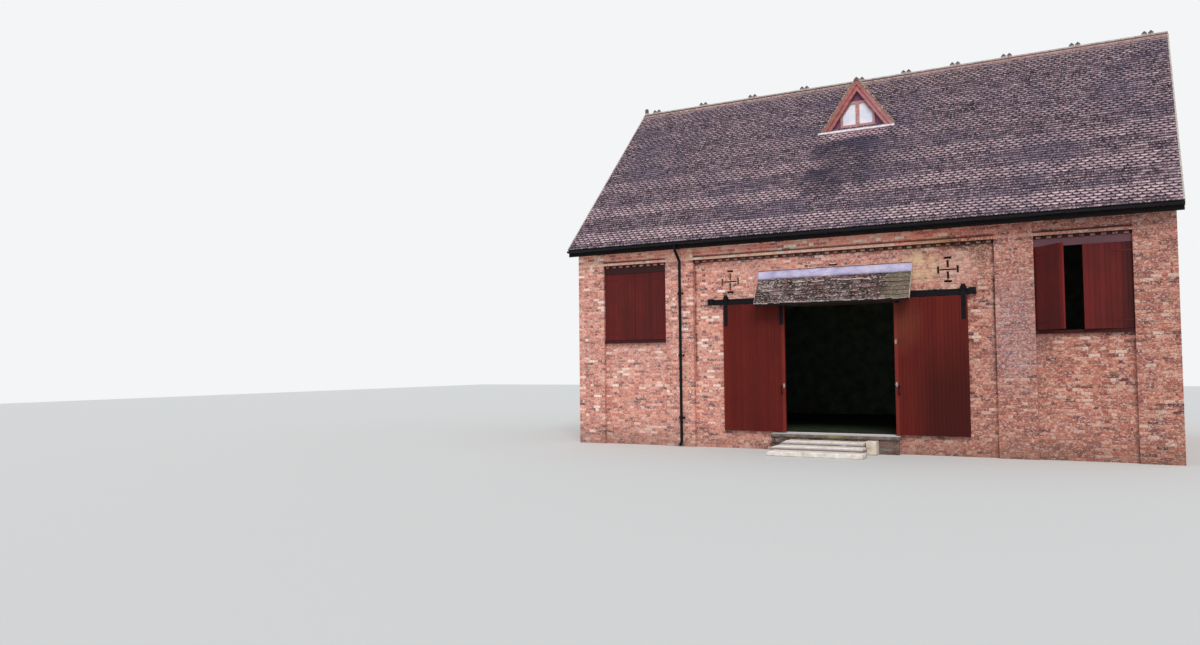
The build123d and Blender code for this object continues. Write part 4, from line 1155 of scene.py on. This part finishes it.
# Sliding doors: boards in front, a braced frame behind, and the bolts of each strap
front = upright(DOOR_FRONT)
back = upright(DOOR_BACK, 1)
strap_face = upright(DOOR_FRONT - 0.01)
timber = (-0.03, 0.0)
for name, low, high, pale_edge, sign, straps in (
    ("left_door", -2.958, -1.26, -1, 1, ((-2.875, 4), (-1.343, 4))),
    ("right_door", 1.507, 3.205, 0, -1, ((1.59, 1), (3.122, 4))),
):
    heap = Heap(81 + sign)
    boards(heap, front, (low, high), DOOR_Z, timber, 19, {pale_edge: 0.85})
    for u in ((-high, -high + 0.11), (-low - 0.11, -low)):
        heap.block(back, u, DOOR_Z, timber, (0.2, 0, 0), 0.004, 0, True)
    for v in ((DOOR_Z[0], 0.67), (1.98, 2.16), (3.60, DOOR_Z[1])):
        heap.block(back, (-high + 0.112, -low - 0.112), v, timber, (0.2, 0, 0), 0.004, 0, True)
    for v0, v1 in ((0.672, 1.978), (2.162, 3.598)):
        run, rise = high - low - 0.224, v1 - v0
        lean = math.atan2(rise, run)
        middle = ((high + low) / 2, DOOR_BACK, (v0 + v1) / 2)
        brace = Face(middle, (0, 1, 0), (sign * math.sin(lean), 0, math.cos(lean)))
        length = math.hypot(run, rise) / 2 - 0.10
        heap.block(brace, (-length, length), (-0.05, 0.05), (-0.03, -0.002), (0.25, 0, 0), 0.004)
    heap.piece(f"{name}_boards", red_door, "red_door", name, (f"{name}_leaf",))

    iron = Heap(91 + sign)
    for x, bolts in straps:
        for z in (3.76, 3.60, 3.44, 3.29)[:bolts]:
            iron.disc(strap_face, x, z, 0.017, (-0.004, 0.011), 10)
        iron.disc(strap_face, x, 3.9834, 0.03, (-0.004, 0.012))
    for z in (0.57, 2.07):
        for x in np.arange(low + 0.134, high - 0.05, 0.1788):
            iron.disc(front, float(x), z, 0.007, (-0.002, 0.003), 8)
    iron.piece(f"{name}_bolts", dark_iron, "black_iron", name)

for name, spots in (("left_door", ((-1.297, 1.66),)), ("right_door", ((1.545, 2.74), (1.545, 1.70)))):
    heap = Heap(95)
    for x, z in spots:
        latch = Face((x, DOOR_FRONT, z), (0, -1, 0))
        heap.block(latch, (-0.02, 0.02), (-0.055, 0.055), (-0.002, 0.006), PLAIN, 0.002)
        heap.block(latch, (-0.034, 0.034), (-0.009, 0.009), (0.005, 0.02), PLAIN, 0.003)
        for v in (0.038, -0.038):
            heap.disc(latch, 0.0, v, 0.006, (0.004, 0.01), 8)
    heap.piece(f"{name}_latches", worn_steel, "black_iron", name)

# Hatch leaves: narrow boards with ledges, hinges and pins
leaves = (
    ("left_hatch_left_leaf", -6.612, 0.0, 1, {}), ("left_hatch_right_leaf", -4.658, 0.0, -1, {}),
    # On the open right hatch the free edges' boards are lighter, a painted highlight, and the right leaf's
    # boards by its pivot darker, a painted shade
    ("right_hatch_left_leaf", 4.658, -51.0, 1, {-1: 0.8}),
    ("right_hatch_right_leaf", 6.612, 6.0, -1, {-1: 0.05, -2: 0.15, 0: 0.6, 1: 0.55}),
)
for index, (name, pivot, turn, way, shades) in enumerate(leaves):
    angle = math.radians(turn)
    leaf = Face((pivot, -4.635, 0), (math.sin(angle), -math.cos(angle), 0))
    back = Face(leaf.at([(0, 0, -0.045)])[0], tuple(-leaf.out))
    heap = Heap(101 + index)
    boards(heap, leaf, pair(way, 0.0, LEAF), HATCH_Z, (-0.045, 0.0), 9, shades)
    low, high = pair(-way, 0.0, LEAF)
    for middle in (HATCH_MIDDLE - HINGE_RISE, HATCH_MIDDLE, HATCH_MIDDLE + HINGE_RISE):
        v = (middle - 0.06, middle + 0.06)
        heap.block(back, (low + 0.083, high - 0.083), v, (-0.004, 0.025), (0.3, 0, 0), 0.004)
    heap.piece(name + "_boards", red_hatch, "red_hatch", "barn", (name,))
    iron = Heap(111 + index)
    for z in (HATCH_MIDDLE - HINGE_RISE, HATCH_MIDDLE + HINGE_RISE):
        iron.block(leaf, pair(way, 0.0, 0.42), (z - 0.022, z + 0.022), (-0.001, 0.006), (0.4, 0, 0), 0.002)
        for place in (0.12, 0.24, 0.36):
            iron.disc(leaf, way * place, z, 0.010, (0.004, 0.011), 8)
    iron.piece(name + "_hinges", red_hatch, "red_hatch")

# Threshold, worn steps and the block at their end: piece, node it dresses, its look and slot, the
# (x, z) corners of its outline, its (front, back) in y, the fineness of its mesh and its wear
stones = (
    ("step_top_worn", "step_top", step_stone, "step_stone",
     [(-1.24, 0), (0.855, 0), (0.855, 0.305), (-1.07, 0.305), (-1.24, 0.225)], (-5.30, -4.85), 0.014, 0.008),
    ("step_middle_worn", "step_middle", step_stone, "step_stone",
     [(-1.32, 0), (0.95, 0), (0.95, 0.212), (-1.19, 0.212), (-1.32, 0.172)], (-5.75, -5.30), 0.014, 0.008),
    ("step_bottom_worn", "step_bottom", step_stone, "step_stone",
     [(-1.263, 0), (1.07, 0), (1.07, 0.122), (-1.203, 0.122), (-1.263, 0.092)], (-6.25, -5.75), 0.014, 0.008),
    ("end_block_worn", "step_end_block", block_stone, "step_stone",
     [(0.865, 0), (1.13, 0), (1.13, 0.34), (0.865, 0.34)], (-5.15, -4.85), 0.016, 0.010),
    ("threshold_worn", "threshold_slab", slab_stone, "threshold_stone",
     [(-1.615, 0.35), (1.615, 0.35), (1.615, 0.45), (-1.615, 0.45)], (-4.91, -4.585), 0.016, 0.008),
    ("threshold_inner", "threshold_slab", slab_stone, "threshold_stone",
     [(-1.5, 0.352), (1.5, 0.352), (1.5, 0.45), (-1.5, 0.45)], (-4.60, -4.26), 0.018, 0.004),
)
for seed, (name, node, material, slot, outline, y, voxel, wear) in enumerate(stones, 1):
    stone(name, outline, y, material, node, voxel, wear, seed)

# Gutter joints and brackets, and the downpipes' collars
heap = Heap(121)
for side in (-1, 1):
    centre = (side * GUTTER[0], GUTTER[1])
    for x in np.arange(-7.2, 7.3, 1.8):
        hoop(heap, centre, x, 0.04, 0.061, 0.069)
    for x in np.arange(-6.75, 7.0, 0.9):
        hoop(heap, centre, x, 0.013, 0.061, 0.067)
heap.piece("gutter_joints", gutter_paint, "black_iron")

heap = Heap(122)
for side in (-1, 1):
    for z in (0.75, 2.45, 4.15):
        ring_around(heap, PIPE[0], side * PIPE[1], z, 0.036, 0.05, 0.075)
        ear = Face((PIPE[0], side * 4.735, z), (0, side, 0))
        for way in (-1, 1):
            heap.block(ear, pair(way, 0.045, 0.088), (0.012, 0.062), (-0.03, 0.0), PLAIN, 0.003)
            heap.disc(ear, way * 0.068, 0.037, 0.008, (-0.001, 0.008), 8)
heap.piece("pipe_collars", dark_iron, "black_iron")

# Floor, light and camera
plane = bpy.data.meshes.new("ground")
plane.from_pydata([(-60, -60, 0), (60, -60, 0), (60, 60, 0), (-60, 60, 0)], [], [(0, 1, 2, 3)])
ground = put("ground", plane)
floor = bpy.data.materials.new("pale floor")
floor.use_nodes = True
surface = floor.node_tree.nodes["Principled BSDF"].inputs
surface["Base Color"].default_value = srgb(206, 206, 204)
surface["Roughness"].default_value = 0.95
plane.materials.append(floor)

world = bpy.data.worlds.new("studio")
bpy.context.scene.world = world
world.use_nodes = True
tree = world.node_tree
sky = tree.nodes["Background"]
sky.inputs["Color"].default_value = (0.86, 0.92, 1.0, 1.0)
sky.inputs["Strength"].default_value = 0.66
pale = tree.nodes.new("ShaderNodeBackground")
pale.inputs["Color"].default_value = srgb(244, 245, 246)
pale.inputs["Strength"].default_value = 1.0
rays = tree.nodes.new("ShaderNodeLightPath").outputs
seen = rays["Is Camera Ray"]
for ray in ("Is Glossy Ray", "Is Transmission Ray"):
    either = tree.nodes.new("ShaderNodeMath")
    either.operation = "MAXIMUM"
    tree.links.new(seen, either.inputs[0])
    tree.links.new(rays[ray], either.inputs[1])
    seen = either.outputs[0]
blend = tree.nodes.new("ShaderNodeMixShader")
for index, output in enumerate((seen, sky.outputs[0], pale.outputs[0])):
    tree.links.new(output, blend.inputs[index])
tree.links.new(blend.outputs[0], tree.nodes["World Output"].inputs["Surface"])

lamp = bpy.data.lights.new("sun", "SUN")
lamp.energy = 2.0
lamp.angle = math.radians(25)
lamp.color = (1.0, 0.97, 0.93)
sun = put("sun", lamp)
sun.rotation_euler = Vector((-0.35, 0.75, -0.85)).to_track_quat("-Z", "Y").to_euler()

eye = bpy.data.cameras.new("camera")
eye.sensor_width = 36
eye.lens = 27.847
eye.clip_end = 300
camera = put("camera", eye)
camera.location = (6.561, -27.900, 2.273)
camera.rotation_euler = [math.radians(a) for a in (92.5501, 0.5959, 29.8795)]
bpy.context.scene.camera = camera
bpy.context.scene.view_settings.view_transform = "Standard"
